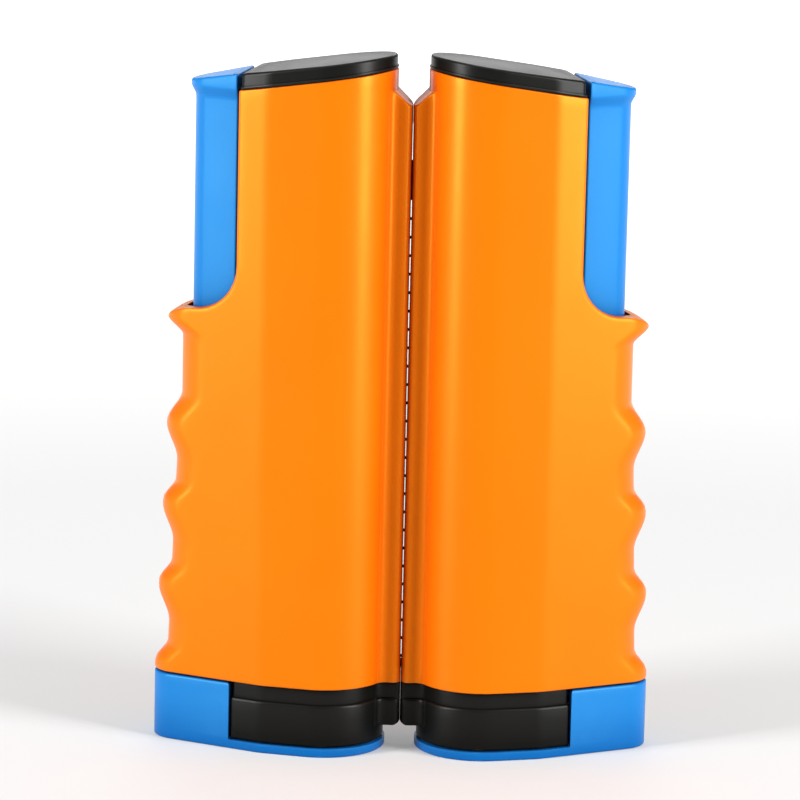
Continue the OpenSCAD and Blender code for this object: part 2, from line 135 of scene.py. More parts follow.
# ---------------------------------------------------------------- camera
def make_camera():
    data = bpy.data.cameras.new("camera")
    data.lens, data.sensor_width = 184.77, 36
    camera = bpy.data.objects.new("camera", data)
    bpy.context.scene.collection.objects.link(camera)
    down, roll = math.radians(10.847), 0.0227
    turn = Matrix.Rotation(math.pi / 2 - down, 4, "X") @ Matrix.Rotation(roll, 4, "Z")
    camera.matrix_world = Matrix.Translation((-0.00192, -1.1309, 0.316)) @ turn
    bpy.context.scene.camera = camera


make_camera()


# ---------------------------------------------------------------- mesh helpers
def place(points, side):
    """Points in a post's own frame, in mm, as points of the pair, in metres."""
    p = np.asarray(points, float)
    x = p[:, 0] * math.cos(SPLAY) - p[:, 1] * math.sin(SPLAY)
    y = p[:, 0] * math.sin(SPLAY) + p[:, 1] * math.cos(SPLAY) - DEPTH_MID
    return np.stack([SIDES[side] * x, y, p[:, 2]], 1) * 0.001


class Mesh:
    """Points and faces of a piece, in a post's own frame."""

    def __init__(self):
        self.points, self.faces = [], []

    def add(self, points, faces):
        base = len(self.points)
        self.points += [tuple(p) for p in points]
        self.faces += [[base + i for i in f] for f in faces]
        return self

    def grid(self, rows, closed=False, wrap=False):
        """Quads between rows of points. closed joins each row's ends, wrap joins the last row to the first."""
        n, m = len(rows), len(rows[0])
        faces = []
        for i in range(n if wrap else n - 1):
            k = (i + 1) % n
            for j in range(m if closed else m - 1):
                h = (j + 1) % m
                faces.append([i * m + j, i * m + h, k * m + h, k * m + j])
        return self.add([p for row in rows for p in row], faces)

    def polygon(self, points):
        return self.add(points, [list(range(len(points)))])


def finish_mesh(data, merge=2e-7):
    """Merges doubled points, drops collapsed faces and turns the normals outward."""
    bm = bmesh.new()
    bm.from_mesh(data)
    bmesh.ops.remove_doubles(bm, verts=bm.verts, dist=merge)
    bmesh.ops.dissolve_degenerate(bm, edges=bm.edges, dist=merge)
    bmesh.ops.recalc_face_normals(bm, faces=bm.faces)
    bm.to_mesh(data)
    bm.free()


def new_object(name, mesh, side, smooth=35):
    data = bpy.data.meshes.new(name)
    data.from_pydata(place(mesh.points, side).tolist(), [], mesh.faces)
    finish_mesh(data)
    o = bpy.data.objects.new(name, data)
    bpy.context.scene.collection.objects.link(o)
    shade(o, smooth)
    return o


def shade(o, smooth):
    """Smooth shading, with edges sharper than smooth degrees kept."""
    o.data.shade_smooth()
    bm = bmesh.new()
    bm.from_mesh(o.data)
    for e in bm.edges:
        e.smooth = len(e.link_faces) == 2 and e.calc_face_angle(0.0) < math.radians(smooth)
    bm.to_mesh(o.data)
    bm.free()


def apply_modifiers(o):
    depsgraph = bpy.context.evaluated_depsgraph_get()
    data = bpy.data.meshes.new_from_object(o.evaluated_get(depsgraph))
    o.modifiers.clear()
    o.data = data


def cut(o, tools, operation="DIFFERENCE", smooth=35):
    """Takes the tools away from o, or adds them to it, and removes them."""
    for tool in tools:
        m = o.modifiers.new("cut", "BOOLEAN")
        m.object, m.operation, m.solver = tool, operation, "EXACT"
    bpy.context.view_layer.update()
    apply_modifiers(o)
    for tool in tools:
        bpy.data.objects.remove(tool)
    shade(o, smooth)
    return o


def bezier(a, corner, b, steps=4):
    """Points that round the corner between a and b, both ends left out."""
    a, corner, b = (np.array(p, float) for p in (a, corner, b))
    ts = [(i + 1) / (steps + 1) for i in range(steps)]
    return [tuple((1 - t) ** 2 * a + 2 * t * (1 - t) * corner + t * t * b) for t in ts]


def arc(centre, r, start, end, steps):
    """Points (u, v) along an arc, in degrees, ends included."""
    angles = [math.radians(start + (end - start) * i / steps) for i in range(steps + 1)]
    return [(centre[0] + r * math.cos(a), centre[1] + r * math.sin(a)) for a in angles]


def whole(half):
    """Closed outline from the points of its back half, mirrored about the u axis."""
    return half + [(u, -v) for u, v in reversed(half) if abs(v) > 1e-9]


def grown(outline, d):
    """A closed outline moved outward by d, with mitred corners."""
    p = np.array(outline, float)
    area = np.sum(p[:, 0] * np.roll(p[:, 1], -1) - np.roll(p[:, 0], -1) * p[:, 1])
    turn = 1.0 if area > 0 else -1.0
    before, after = p - np.roll(p, 1, 0), np.roll(p, -1, 0) - p
    normal = lambda e: turn * np.stack([e[:, 1], -e[:, 0]], 1) / np.linalg.norm(e, axis=1)[:, None]
    both = normal(before) + normal(after)
    return p + 2 * d * both / np.maximum(np.sum(both * both, 1), 0.6)[:, None]


def slab(mesh, outline, low, high, r_low=0.5, r_high=0.5, steps=4, rows=2):
    """A closed slab over an outline, between heights that may depend on u, with rounded edges."""
    low_at = low if callable(low) else lambda u: low
    high_at = high if callable(high) else lambda u: high
    quarter = [math.pi / 2 * i / steps for i in range(steps + 1)]
    rings = [(r_low * (1 - math.sin(a)), 0, r_low * (1 - math.cos(a))) for a in quarter]
    rings += [(0.0, i / (rows + 1), None) for i in range(1, rows + 1)]
    rings += [(r_high * (1 - math.cos(a)), 1, -r_high * (1 - math.sin(a))) for a in quarter]
    made = []
    for inset, share, rise in rings:
        ring = grown(outline, -inset)
        row = []
        for u, v in ring:
            z0, z1 = low_at(u), high_at(u)
            if rise is None:
                z = z0 + r_low + (z1 - r_high - z0 - r_low) * share
            else:
                z = (z1 if share else z0) + rise
            row.append((u, v, z))
        made.append(row)
    base = len(mesh.points)
    mesh.grid(made, closed=True)
    m = len(outline)
    mesh.faces.append([base + j for j in range(m)])
    mesh.faces.append([base + (len(made) - 1) * m + j for j in range(m)])
    return mesh


def revolve(mesh, axis_point, profile, turns=48, axis="z"):
    """Turns (radius, along) pairs about an axis through axis_point; radius 0 closes an end."""
    au, av, az = axis_point
    rows = []
    for i in range(turns):
        a = 2 * math.pi * i / turns
        c, s = math.cos(a), math.sin(a)
        if axis == "z":
            rows.append([(au + r * c, av + r * s, az + h) for r, h in profile])
        else:
            rows.append([(au + r * c, av + h, az + r * s) for r, h in profile])
    return mesh.grid(rows, wrap=True)


def box(mesh, low, high):
    (a, b, c), (d, e, f) = low, high
    points = [(x, y, z) for z in (c, f) for x, y in ((a, b), (d, b), (d, e), (a, e))]
    faces = [(0, 3, 2, 1), (4, 5, 6, 7), (0, 1, 5, 4), (1, 2, 6, 5), (2, 3, 7, 6), (3, 0, 4, 7)]
    return mesh.add(points, faces)


# ---------------------------------------------------------------- materials
# Reach of the ambient occlusion that paints shade into grooves, corners and the gap between the posts.
PAINTED_SHADE_REACH = 0.015


class Nodes:
    """Short calls for the nodes of one material."""

    def __init__(self, name):
        self.material = bpy.data.materials.new(name)
        self.material.use_nodes = True
        self.tree = self.material.node_tree
        self.shader = self.tree.nodes["Principled BSDF"]

    def node(self, kind, **values):
        n = self.tree.nodes.new(kind)
        for key, value in values.items():
            setattr(n, key, value)
        return n

    def link(self, a, b):
        self.tree.links.new(a, b)

    def noise(self, scale, detail=3.0, stretch=None):
        """Noise in the object's own space; stretch is a scale for each axis."""
        where = self.node("ShaderNodeTexCoord").outputs["Object"]
        if stretch:
            mapping = self.node("ShaderNodeMapping")
            mapping.inputs["Scale"].default_value = stretch
            self.link(where, mapping.inputs["Vector"])
            where = mapping.outputs["Vector"]
        n = self.node("ShaderNodeTexNoise")
        n.inputs["Scale"].default_value = scale
        n.inputs["Detail"].default_value = detail
        self.link(where, n.inputs["Vector"])
        return n.outputs["Fac"]

    def ramp(self, value, low, high, start=0.3, end=0.7):
        n = self.node("ShaderNodeMapRange")
        n.inputs["From Min"].default_value, n.inputs["From Max"].default_value = start, end
        n.inputs["To Min"].default_value, n.inputs["To Max"].default_value = low, high
        self.link(value, n.inputs["Value"])
        return n.outputs["Result"]

    def mix(self, factor, a, b):
        n = self.node("ShaderNodeMix", data_type="RGBA")
        for socket, value in ((n.inputs[6], a), (n.inputs[7], b)):
            if isinstance(value, tuple):
                socket.default_value = (*value, 1)
            else:
                self.link(value, socket)
        if isinstance(factor, float):
            n.inputs[0].default_value = factor
        else:
            self.link(factor, n.inputs[0])
        return n.outputs[2]

    def bump(self, *layers):
        """Each layer is (height output, strength, distance in metres)."""
        last = None
        for height, strength, distance in layers:
            n = self.node("ShaderNodeBump")
            n.inputs["Strength"].default_value, n.inputs["Distance"].default_value = strength, distance
            self.link(height, n.inputs["Height"])
            if last:
                self.link(last, n.inputs["Normal"])
            last = n.outputs["Normal"]
        self.link(last, self.shader.inputs["Normal"])

    def edges(self):
        """1 along convex edges, 0 elsewhere."""
        return self.ramp(self.node("ShaderNodeNewGeometry").outputs["Pointiness"], 0.0, 1.0, 0.52, 0.60)

    def painted_shade_mask(self):
        """1 in the open, less in grooves and corners: the ambient occlusion mask that paints shade into the colour."""
        n = self.node("ShaderNodeAmbientOcclusion", samples=4)
        n.inputs["Distance"].default_value = PAINTED_SHADE_REACH
        square = self.node("ShaderNodeMath", operation="MULTIPLY")
        self.link(n.outputs["AO"], square.inputs[0])
        self.link(n.outputs["AO"], square.inputs[1])
        return self.ramp(square.outputs[0], 0.0, 1.0, 0.1, 0.95)

    def set(self, **values):
        for key, value in values.items():
            self.shader.inputs[key.replace("_", " ")].default_value = value


def moulded_plastic(name, colour, pale, rough, grain, painted_shade_tint, shine, level=0.5, edge_amount=0.35):
    """Moulded plastic: faint drift, painted shade and weaker reflection in grooves, a fine grain, rubbed paler edges
    and uneven gloss.
    """
    m = Nodes(name)
    drift = m.ramp(m.noise(22.0, 2.0), 0.0, 1.0)
    deeper = tuple(c * 0.93 for c in colour)
    # Painted shade: the colour darkens and the reflection weakens in grooves, corners and between the posts.
    opened = m.painted_shade_mask()
    base = m.mix(opened, tuple(c * d for c, d in zip(colour, painted_shade_tint)), m.mix(drift, deeper, colour))
    m.link(m.ramp(opened, level * 0.25, level, 0.0, 1.0), m.shader.inputs["Specular IOR Level"])
    worn = m.node("ShaderNodeMath", operation="MULTIPLY")
    m.link(m.edges(), worn.inputs[0])
    m.link(m.ramp(m.noise(160.0, 4.0), edge_amount * 0.4, edge_amount), worn.inputs[1])
    m.link(m.mix(worn.outputs[0], base, pale), m.shader.inputs["Base Color"])
    m.link(m.ramp(m.noise(55.0, 4.0), rough - 0.035, rough + 0.045), m.shader.inputs["Roughness"])
    m.bump((m.noise(grain, 2.0), 0.12, 0.00004), (m.noise(70.0, 2.0), 0.10, 0.00008))
    m.set(IOR=1.52, Specular_Tint=(*shine, 1))
    return m.material


def rubber_material():
    m = Nodes("rubber")
    base = m.mix(m.ramp(m.noise(90.0), 0.0, 1.0), (0.018, 0.018, 0.020), (0.040, 0.040, 0.043))
    m.link(base, m.shader.inputs["Base Color"])
    m.link(m.ramp(m.noise(300.0), 0.62, 0.85), m.shader.inputs["Roughness"])
    m.bump((m.noise(2400.0, 3.0), 0.35, 0.00008))
    m.set(Sheen_Weight=0.15)
    return m.material


def metal(name, colour, rough, stretch):
    """Drawn or turned metal, with fine scratches along stretch."""
    m = Nodes(name)
    scratches = m.noise(900.0, 3.0, stretch)
    dark = tuple(c * 0.8 for c in colour)
    m.link(m.mix(m.ramp(m.noise(120.0), 0.0, 1.0), dark, colour), m.shader.inputs["Base Color"])
    m.link(m.ramp(scratches, rough - 0.08, rough + 0.1), m.shader.inputs["Roughness"])
    m.bump((scratches, 0.15, 0.00002))
    m.set(Metallic=1.0)
    return m.material


def acetal():
    m = Nodes("acetal")
    m.link(m.mix(m.ramp(m.noise(40.0), 0.0, 1.0), (0.78, 0.78, 0.74), (0.84, 0.84, 0.81)), m.shader.inputs["Base Color"])
    m.link(m.ramp(m.noise(200.0), 0.38, 0.48), m.shader.inputs["Roughness"])
    m.bump((m.noise(1500.0), 0.08, 0.00003))
    m.set(Subsurface_Weight=0.08, Subsurface_Scale=0.002)
    return m.material


def net_fabric():
    """Twisted nylon: a fine slanted twist with fibre noise."""
    m = Nodes("net_fabric")
    wave = m.node("ShaderNodeTexWave", bands_direction="DIAGONAL")
    wave.inputs["Scale"].default_value = 900.0
    wave.inputs["Distortion"].default_value = 1.5
    m.link(m.node("ShaderNodeTexCoord").outputs["Object"], wave.inputs["Vector"])
    m.link(m.mix(wave.outputs["Fac"], (0.012, 0.016, 0.045), (0.030, 0.040, 0.095)), m.shader.inputs["Base Color"])
    m.link(m.ramp(m.noise(1200.0), 0.55, 0.8), m.shader.inputs["Roughness"])
    m.bump((wave.outputs["Fac"], 0.5, 0.0001), (m.noise(4000.0), 0.3, 0.00004))
    m.set(Sheen_Weight=0.3)
    return m.material


# The tuple after each grain is the painted shade colour factor for grooves and corners.
MATERIALS = {
    "orange_abs": moulded_plastic("orange_abs", (0.76, 0.150, 0.001), (0.95, 0.28, 0.03), 0.32, 1800.0,
                                  (0.5, 0.18, 0.3), (1.0, 1.0, 0.12)),
    "blue_abs": moulded_plastic("blue_abs", (0.006, 0.175, 0.53), (0.05, 0.30, 0.68), 0.36, 2000.0,
                                (0.4, 0.5, 0.6), (0.25, 0.75, 1.0)),
    "black_abs": moulded_plastic("black_abs", (0.005, 0.005, 0.004), (0.04, 0.04, 0.04), 0.34, 2600.0,
                                 (0.4, 0.4, 0.4), (1.0, 1.0, 1.0), 0.16, 0.5),
    "rubber": rubber_material(),
    "steel": metal("steel", (0.62, 0.62, 0.64), 0.30, (1.0, 1.0, 8.0)),
    "spring_steel": metal("spring_steel", (0.46, 0.46, 0.48), 0.34, (6.0, 6.0, 1.0)),
    "white_acetal": acetal(),
    "net": net_fabric(),
}


def wear(o, slot, body, *nodes):
    """Gives a new piece its material and its body, and hides the CAD nodes that it stands for."""
    o.data.materials.clear()
    o.data.materials.append(MATERIALS[slot])
    if body:
        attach(o, body)
    if nodes:
        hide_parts(*nodes)
    return o


# ---------------------------------------------------------------- handle shells
EDGE = 0.5
LEDGE_EDGE = 0.8
START_U = FACE_U - LEDGE_EDGE
IN_START_U = START_U - WALL * SIN_F
MID_Z = 116.0
LOW_ROWS, MID_ROWS, HIGH_ROWS = 64, 12, 20
RIM_STEPS = 3
GROOVE, GROOVE_V, PARTING_V = 0.16, 0.26, 0.02


def flank_v(u, inset=0.0):
    return (APEX_U - inset / SIN_F - u) * TAN_F


def end_circle(z):
    """Centre and radius of the finger end at height z; it always touches both flanks."""
    c = (grip_u(min(z, TIP_Z)) - APEX_U * SIN_F) / (1 - SIN_F)
    return c, (APEX_U - c) * SIN_F


def ledge_z(u, inset=0.0):
    """Height of the sweep and ledge at u, or of the surface inset below it."""
    if u <= SWEEP_U:
        return SWEEP_Z - math.sqrt(max((SWEEP_R + inset) ** 2 - (SWEEP_U - u) ** 2, 0.0))
    return LEDGE_Z - LEDGE_R + math.sqrt((LEDGE_R - inset) ** 2 - (u - SWEEP_U) ** 2)


def slot_v(u):
    """Half width of the lever's opening at u."""
    root = LEVER_ROOT_R + 0.5
    slope = (LEVER_ROOT_R - LEVER_R) / (LEVER_C - LEVER_ROOT_U)
    line = (root - (u - LEVER_ROOT_U) * slope) / math.sqrt(1 - slope * slope)
    if u <= SLOT_C:
        return line
    return min(line, math.sqrt(max(SLOT_END_R ** 2 - (u - SLOT_C) ** 2, 0.0)))


SLOT_C, SLOT_END_R = LEVER_C + 1.1, LEVER_R + 0.5


def rim(o, corner_o, corner_i, i):
    """Points from o to i round an edge's two corners, ends left out."""
    o, corner_o, corner_i, i = (np.array(p, float) for p in (o, corner_o, corner_i, i))
    r = min(float(np.linalg.norm(corner_o - o)), 0.45 * float(np.linalg.norm(corner_i - corner_o)))
    across = (corner_i - corner_o) / max(float(np.linalg.norm(corner_i - corner_o)), 1e-9)
    a, b = corner_o + across * r, corner_i - across * r
    return bezier(o, corner_o, a, RIM_STEPS) + [tuple(a), tuple(b)] + bezier(b, corner_i, i, RIM_STEPS)


def mouth_u(v, sign, inset):
    """The lip's mouth, parallel to the seam, at v in its back half, sign 1, or its front half, -1."""
    return (SEAM_GAP / 2 + inset + sign * v * math.sin(SPLAY)) / math.cos(SPLAY)


def mouth_inset(z):
    """How far the mouth stands off the CAD's: wider where the net runs, nearly shut above it."""
    net = min(ease((z - SLOT_LOW) / 1.2), ease((NET_Z + NET_H + 1.0 - z) / 1.2))
    opened = min(ease((z - SLOT_LOW) / 1.2), ease((SLOT_HIGH - z) / 1.2))
    return MOUTH_INSET + (OPEN_INSET - MOUTH_INSET) * opened + (NET_INSET - OPEN_INSET) * net


def lip_arcs(sign, inset, at):
    """Corner of the lip and its fillet into the nose, taken in by inset, with the mouth set back by at."""
    r = max(LIP_R - inset, 0.8)
    v = LIP_HALF - inset - r
    centre = ((SEAM_GAP / 2 + at + r + sign * v * math.sin(SPLAY)) / math.cos(SPLAY), v)
    corner = arc(centre, r, 180 - sign * math.degrees(SPLAY), 90, 6)
    return corner, arc((FILLET_U, LIP_HALF + FILLET_R), FILLET_R + inset, 270, 360 - FILLET_TURN, 8)


def nose_half(z):
    """Half width of the net slot in the nose at height z."""
    return SLOT_HALF if SLOT_LOW < z < SLOT_HIGH else PARTING_V


def body_columns():
    """Columns round the nose, belly and flank up to the flat face: functions of z to (outer, inner)."""
    columns = []

    def ring_column(centre, r, angle):
        n = (math.cos(angle), math.sin(angle))
        return lambda z: ((centre + r * n[0], r * n[1]), (centre + (r - WALL) * n[0], (r - WALL) * n[1]))

    def first(z):
        out = []
        for r in (NOSE_R - (GROOVE if nose_half(z) < 1 else 0.0), NOSE_R - WALL):
            v = nose_half(z)
            out.append((NOSE_U - math.sqrt(r * r - v * v), v))
        return tuple(out)

    def second(z):
        v = max(nose_half(z), GROOVE_V) + 0.2
        return tuple((NOSE_U - math.sqrt(r * r - v * v), v) for r in (NOSE_R, NOSE_R - WALL))

    def flank_column(u):
        iu = u - WALL * SIN_F
        return lambda z: ((u, flank_v(u)), (iu, flank_v(iu, WALL)))

    def last(z):
        share = min(max((z - MID_Z) / (SWEEP_Z - MID_Z), 0.0), 1.0)
        iu = IN_START_U + (FACE_U - WALL - IN_START_U) * share
        return ((START_U, flank_v(START_U)), (iu, flank_v(iu, WALL)))

    columns += [first, second]
    for i in range(1, 27):
        angle = math.radians(174) + (NOSE_ANGLE - math.radians(174)) * i / 26
        columns.append(ring_column(NOSE_U, NOSE_R, angle))
    for i in range(1, 5):
        columns.append(ring_column(BELLY_U, BELLY_R, NOSE_ANGLE + (FLANK_ANGLE - NOSE_ANGLE) * i / 4))
    tangent_u = BELLY_U + BELLY_R * SIN_F
    for i in range(1, 6):
        columns.append(flank_column(tangent_u + (START_U - 1.0 - tangent_u) * i / 6))
    columns.append(last)
    return columns


def grip_columns():
    """Columns from the flat face round the finger end: dicts of the points that a column needs."""
    tip_c, tip_r = end_circle(TIP_Z)
    tangent_top = tip_c + tip_r * SIN_F
    made = []

    def flank(u_edge, z_edge, normal):
        a = (u_edge - LEDGE_EDGE * normal[0], z_edge - LEDGE_EDGE * normal[1])
        share = (a[0] - START_U) / (tangent_top - START_U)

        def wall(z, inset):
            c, r = end_circle(z)
            u = START_U + share * (c + r * SIN_F - START_U)
            iu = u - inset * SIN_F
            return (iu, flank_v(iu, inset))

        inner_u = u_edge - WALL * normal[0]
        q = (u_edge, slot_v(u_edge))
        return {
            "wall": wall, "a": (a[0], flank_v(a[0]), a[1]),
            "corner": (u_edge, flank_v(u_edge), z_edge),
            "b": (u_edge, flank_v(u_edge) - LEDGE_EDGE, z_edge),
            "q": (q[0], q[1], z_edge),
            "q_in": (q[0] - WALL * normal[0], q[1], z_edge - WALL * normal[1]),
            "corner_in": (inner_u, flank_v(inner_u, WALL), z_edge - WALL * normal[1]),
        }

    for i in range(10):
        angle = math.radians(180 + 90 * i / 9)
        n = (-math.cos(angle), -math.sin(angle))
        made.append(flank(SWEEP_U - SWEEP_R * n[0], SWEEP_Z - SWEEP_R * n[1], n))
    for u in (SWEEP_U + 1.0, tangent_top):
        n = ((u - SWEEP_U) / LEDGE_R, math.sqrt(1 - ((u - SWEEP_U) / LEDGE_R) ** 2))
        made.append(flank(u, ledge_z(u), n))

    start = math.acos((tangent_top - SLOT_C) / SLOT_END_R)
    ends = 14
    for i in range(1, ends + 2):
        share = min(i / ends, 1.0)
        angle = FLANK_ANGLE * (1 - share)
        lean = start * (1 - share)
        groove = 0.0
        if i >= ends:
            v = GROOVE_V if i == ends else PARTING_V
            angle, lean = math.asin(v / tip_r), math.asin(v / SLOT_END_R)
            groove = GROOVE if i > ends else 0.0
        co, si = math.cos(angle), math.sin(angle)

        def wall(z, inset, co=co, si=si, groove=groove):
            c, r = end_circle(z)
            r -= inset if inset else groove
            return (c + r * co, r * si)

        def on_ledge(r, inset=0.0, co=co, si=si, groove=groove):
            u = tip_c + r * co
            return (u, r * si, ledge_z(u, inset) - (0 if inset else groove))

        corner = on_ledge(tip_r - groove)
        a_z = corner[2] - LEDGE_EDGE
        q = (SLOT_C + SLOT_END_R * math.cos(lean), SLOT_END_R * math.sin(lean))
        made.append({
            "wall": wall, "a": (*wall(a_z, 0.0), a_z), "corner": corner, "b": on_ledge(tip_r - groove - LEDGE_EDGE),
            "q": (*q, ledge_z(q[0]) - groove), "q_in": (q[0] - 0.3, q[1], ledge_z(q[0], WALL)),
            "corner_in": on_ledge(tip_r - WALL, WALL),
        })
    return made


def lerp(a, b, t):
    return tuple(x + (y - x) * t for x, y in zip(a, b))


def half_shell_mesh():
    """One closed half of the handle for v >= 0: rows of points in columns, joined at the flat face."""
    mesh = Mesh()
    low_z = [BODY_Z + EDGE + (MID_Z - BODY_Z - EDGE) * i / LOW_ROWS for i in range(LOW_ROWS + 1)]
    mid_z = [MID_Z + (SWEEP_Z - MID_Z) * i / MID_ROWS for i in range(1, MID_ROWS + 1)]

    def bottom_rim(outer, inner):
        """From the inner wall's foot to the outer wall's foot."""
        (ou, ov), (iu, iv) = outer, inner
        return rim((iu, iv, BODY_Z + EDGE), (iu, iv, BODY_Z), (ou, ov, BODY_Z), (ou, ov, BODY_Z + EDGE))

    def high_rows(u, v):
        top = top_z(u) - EDGE
        return [(u, v, SWEEP_Z + (top - SWEEP_Z) * i / HIGH_ROWS) for i in range(1, HIGH_ROWS + 1)]

    def top_rim(outer, inner):
        (ou, ov), (iu, iv) = outer, inner
        return rim((ou, ov, top_z(ou) - EDGE), (ou, ov, top_z(ou)), (iu, iv, top_z(iu)), (iu, iv, top_z(iu) - EDGE))

    # Nose, belly and flank: each column is a closed ring.
    rings, lengths = [], None
    for column in body_columns():
        pairs = [column(z) for z in low_z + mid_z]
        outer = [(*o, z) for (o, _), z in zip(pairs, low_z + mid_z)]
        inner = [(*i, z) for (_, i), z in zip(pairs, low_z + mid_z)]
        above = [SWEEP_Z + (top_z(NOSE_U) - SWEEP_Z) * i / HIGH_ROWS for i in range(1, HIGH_ROWS + 1)]
        high = [column(z) for z in above]
        out_high = [(*o, (top_z(o[0]) - EDGE - SWEEP_Z) * i / HIGH_ROWS + SWEEP_Z) for i, (o, _) in enumerate(high, 1)]
        in_high = [(*n, (top_z(n[0]) - EDGE - SWEEP_Z) * i / HIGH_ROWS + SWEEP_Z) for i, (_, n) in enumerate(high, 1)]
        o_top, i_top = high[-1]
        ring = outer + out_high + top_rim(o_top, i_top) + in_high[::-1] + inner[::-1] + bottom_rim(*pairs[0])
        rings.append(ring)
        lengths = (len(outer) + len(out_high), len(top_rim(o_top, i_top)))
    mesh.grid(rings, closed=True)

    def cap_ring(ring, straight, turn, straight_in=None):
        """Closes a ring with quads between its outer and inner rows, and a polygon at each edge."""
        outer = ring[:straight]
        top = ring[straight:straight + turn]
        inner = ring[straight + turn:2 * straight + turn][::-1]
        bottom = ring[2 * straight + turn:]
        for i in range(straight - 1):
            mesh.polygon([outer[i], outer[i + 1], inner[i + 1], inner[i]])
        mesh.polygon([outer[-1], *top, inner[-1]])
        mesh.polygon([inner[0], *bottom, outer[0]])

    cap_ring(rings[0], *lengths)

    # Finger grip: each column is a closed ring over the ledge and back under it.
    strip = 3
    grips = grip_columns()
    rings, fillets = [], []
    for g in grips:
        outer = [(*g["wall"](z, 0.0), z) for z in low_z]
        outer += [(*g["wall"](MID_Z + (g["a"][2] - MID_Z) * i / MID_ROWS, 0.0),
                   MID_Z + (g["a"][2] - MID_Z) * i / MID_ROWS) for i in range(1, MID_ROWS)] + [g["a"]]
        corner_in = g["corner_in"]
        inner = [(*g["wall"](z, WALL), z) for z in low_z]
        foot = inner[-1]
        for i in range(1, MID_ROWS + 1):
            t = i / MID_ROWS
            z = MID_Z + (corner_in[2] - MID_Z) * t
            u, v = g["wall"](z, WALL)
            du, dv = corner_in[0] - g["wall"](corner_in[2], WALL)[0], corner_in[1] - g["wall"](corner_in[2], WALL)[1]
            inner.append((u + du * t, v + dv * t, z))
        fillet = bezier(g["a"], g["corner"], g["b"], RIM_STEPS) + [g["b"]]
        q, q_in = g["q"], g["q_in"]
        back = 0.4 / max(math.dist(g["b"][:2], q[:2]), 0.5)
        end, end_in = lerp(q, g["b"], back), lerp(q_in, corner_in, back)

        def on_strip(a, b, t, inset):
            p = lerp(a, b, t)
            if p[0] > SWEEP_U + 0.01 and a[0] != b[0]:
                drop = ledge_z(p[0], inset) - lerp((ledge_z(a[0], inset),), (ledge_z(b[0], inset),), t)[0]
                return (p[0], p[1], p[2] + drop)
            return p

        out_strip = [on_strip(g["b"], end, i / strip, 0.0) for i in range(1, strip)] + [end]
        in_strip = [on_strip(corner_in, end_in, i / strip, WALL) for i in range(1, strip)] + [end_in]
        edge = rim(end, q, q_in, end_in)
        over = fillet + out_strip + edge + in_strip[::-1]
        rings.append(outer + over + inner[::-1] + bottom_rim(outer[0][:2], inner[0][:2]))
        fillets.append((fillet, out_strip, edge, in_strip, corner_in, outer, inner))
    mesh.grid(rings, closed=True)
    fillet, out_strip, edge, in_strip, corner_in, outer, inner = fillets[-1]
    for i in range(len(outer) - 1):
        mesh.polygon([outer[i], outer[i + 1], inner[i + 1], inner[i]])
    mesh.polygon([outer[-1], *fillet, inner[-1]])
    across_out, across_in = [fillet[-1], *out_strip], [inner[-1], *in_strip]
    for i in range(strip):
        mesh.polygon([across_out[i], across_out[i + 1], across_in[i + 1], across_in[i]])
    mesh.polygon([out_strip[-1], *edge, in_strip[-1]])
    ring = rings[-1]
    mesh.polygon([inner[0], *ring[-(len(ring) - len(outer) - len(inner) - len(fillet) - 2 * strip - len(edge)):], outer[0]])

    # Flat face behind the lever: its first columns stand on the grip's first ring.
    fillet, out_strip, edge, in_strip, corner_in, outer, inner = fillets[0]
    starts = [(outer[-1], corner_in)] + [(p, corner_in) for p in fillet]
    starts += list(zip(out_strip, in_strip))
    columns = []
    for o, i in starts:
        columns.append([o, *high_rows(o[0], o[1]), *top_rim(o[:2], i[:2]), *high_rows(i[0], i[1])[::-1], i])
    mesh.grid(columns)
    last_v = out_strip[-1][1]
    vs = [last_v + (GROOVE_V - last_v) * i / 8 for i in range(1, 9)] + [PARTING_V]
    rings = [columns[-1] + list(edge[::-1])]
    for v in vs:
        u = FACE_U - (GROOVE if v == PARTING_V else 0.0)
        inner_u = FACE_U - WALL
        foot = SWEEP_Z + 0.4
        edge_rim = rim((inner_u, v, foot), (inner_u, v, SWEEP_Z), (u, v, SWEEP_Z), (u, v, foot))
        column = [(u, v, foot), *high_rows(u, v), *top_rim((u, v), (inner_u, v)), *high_rows(inner_u, v)[::-1], (inner_u, v, foot)]
        rings.append(column + edge_rim)
    mesh.grid(rings, closed=True)
    cap_ring(rings[-1], HIGH_ROWS + 1, lengths[1])
    return mesh


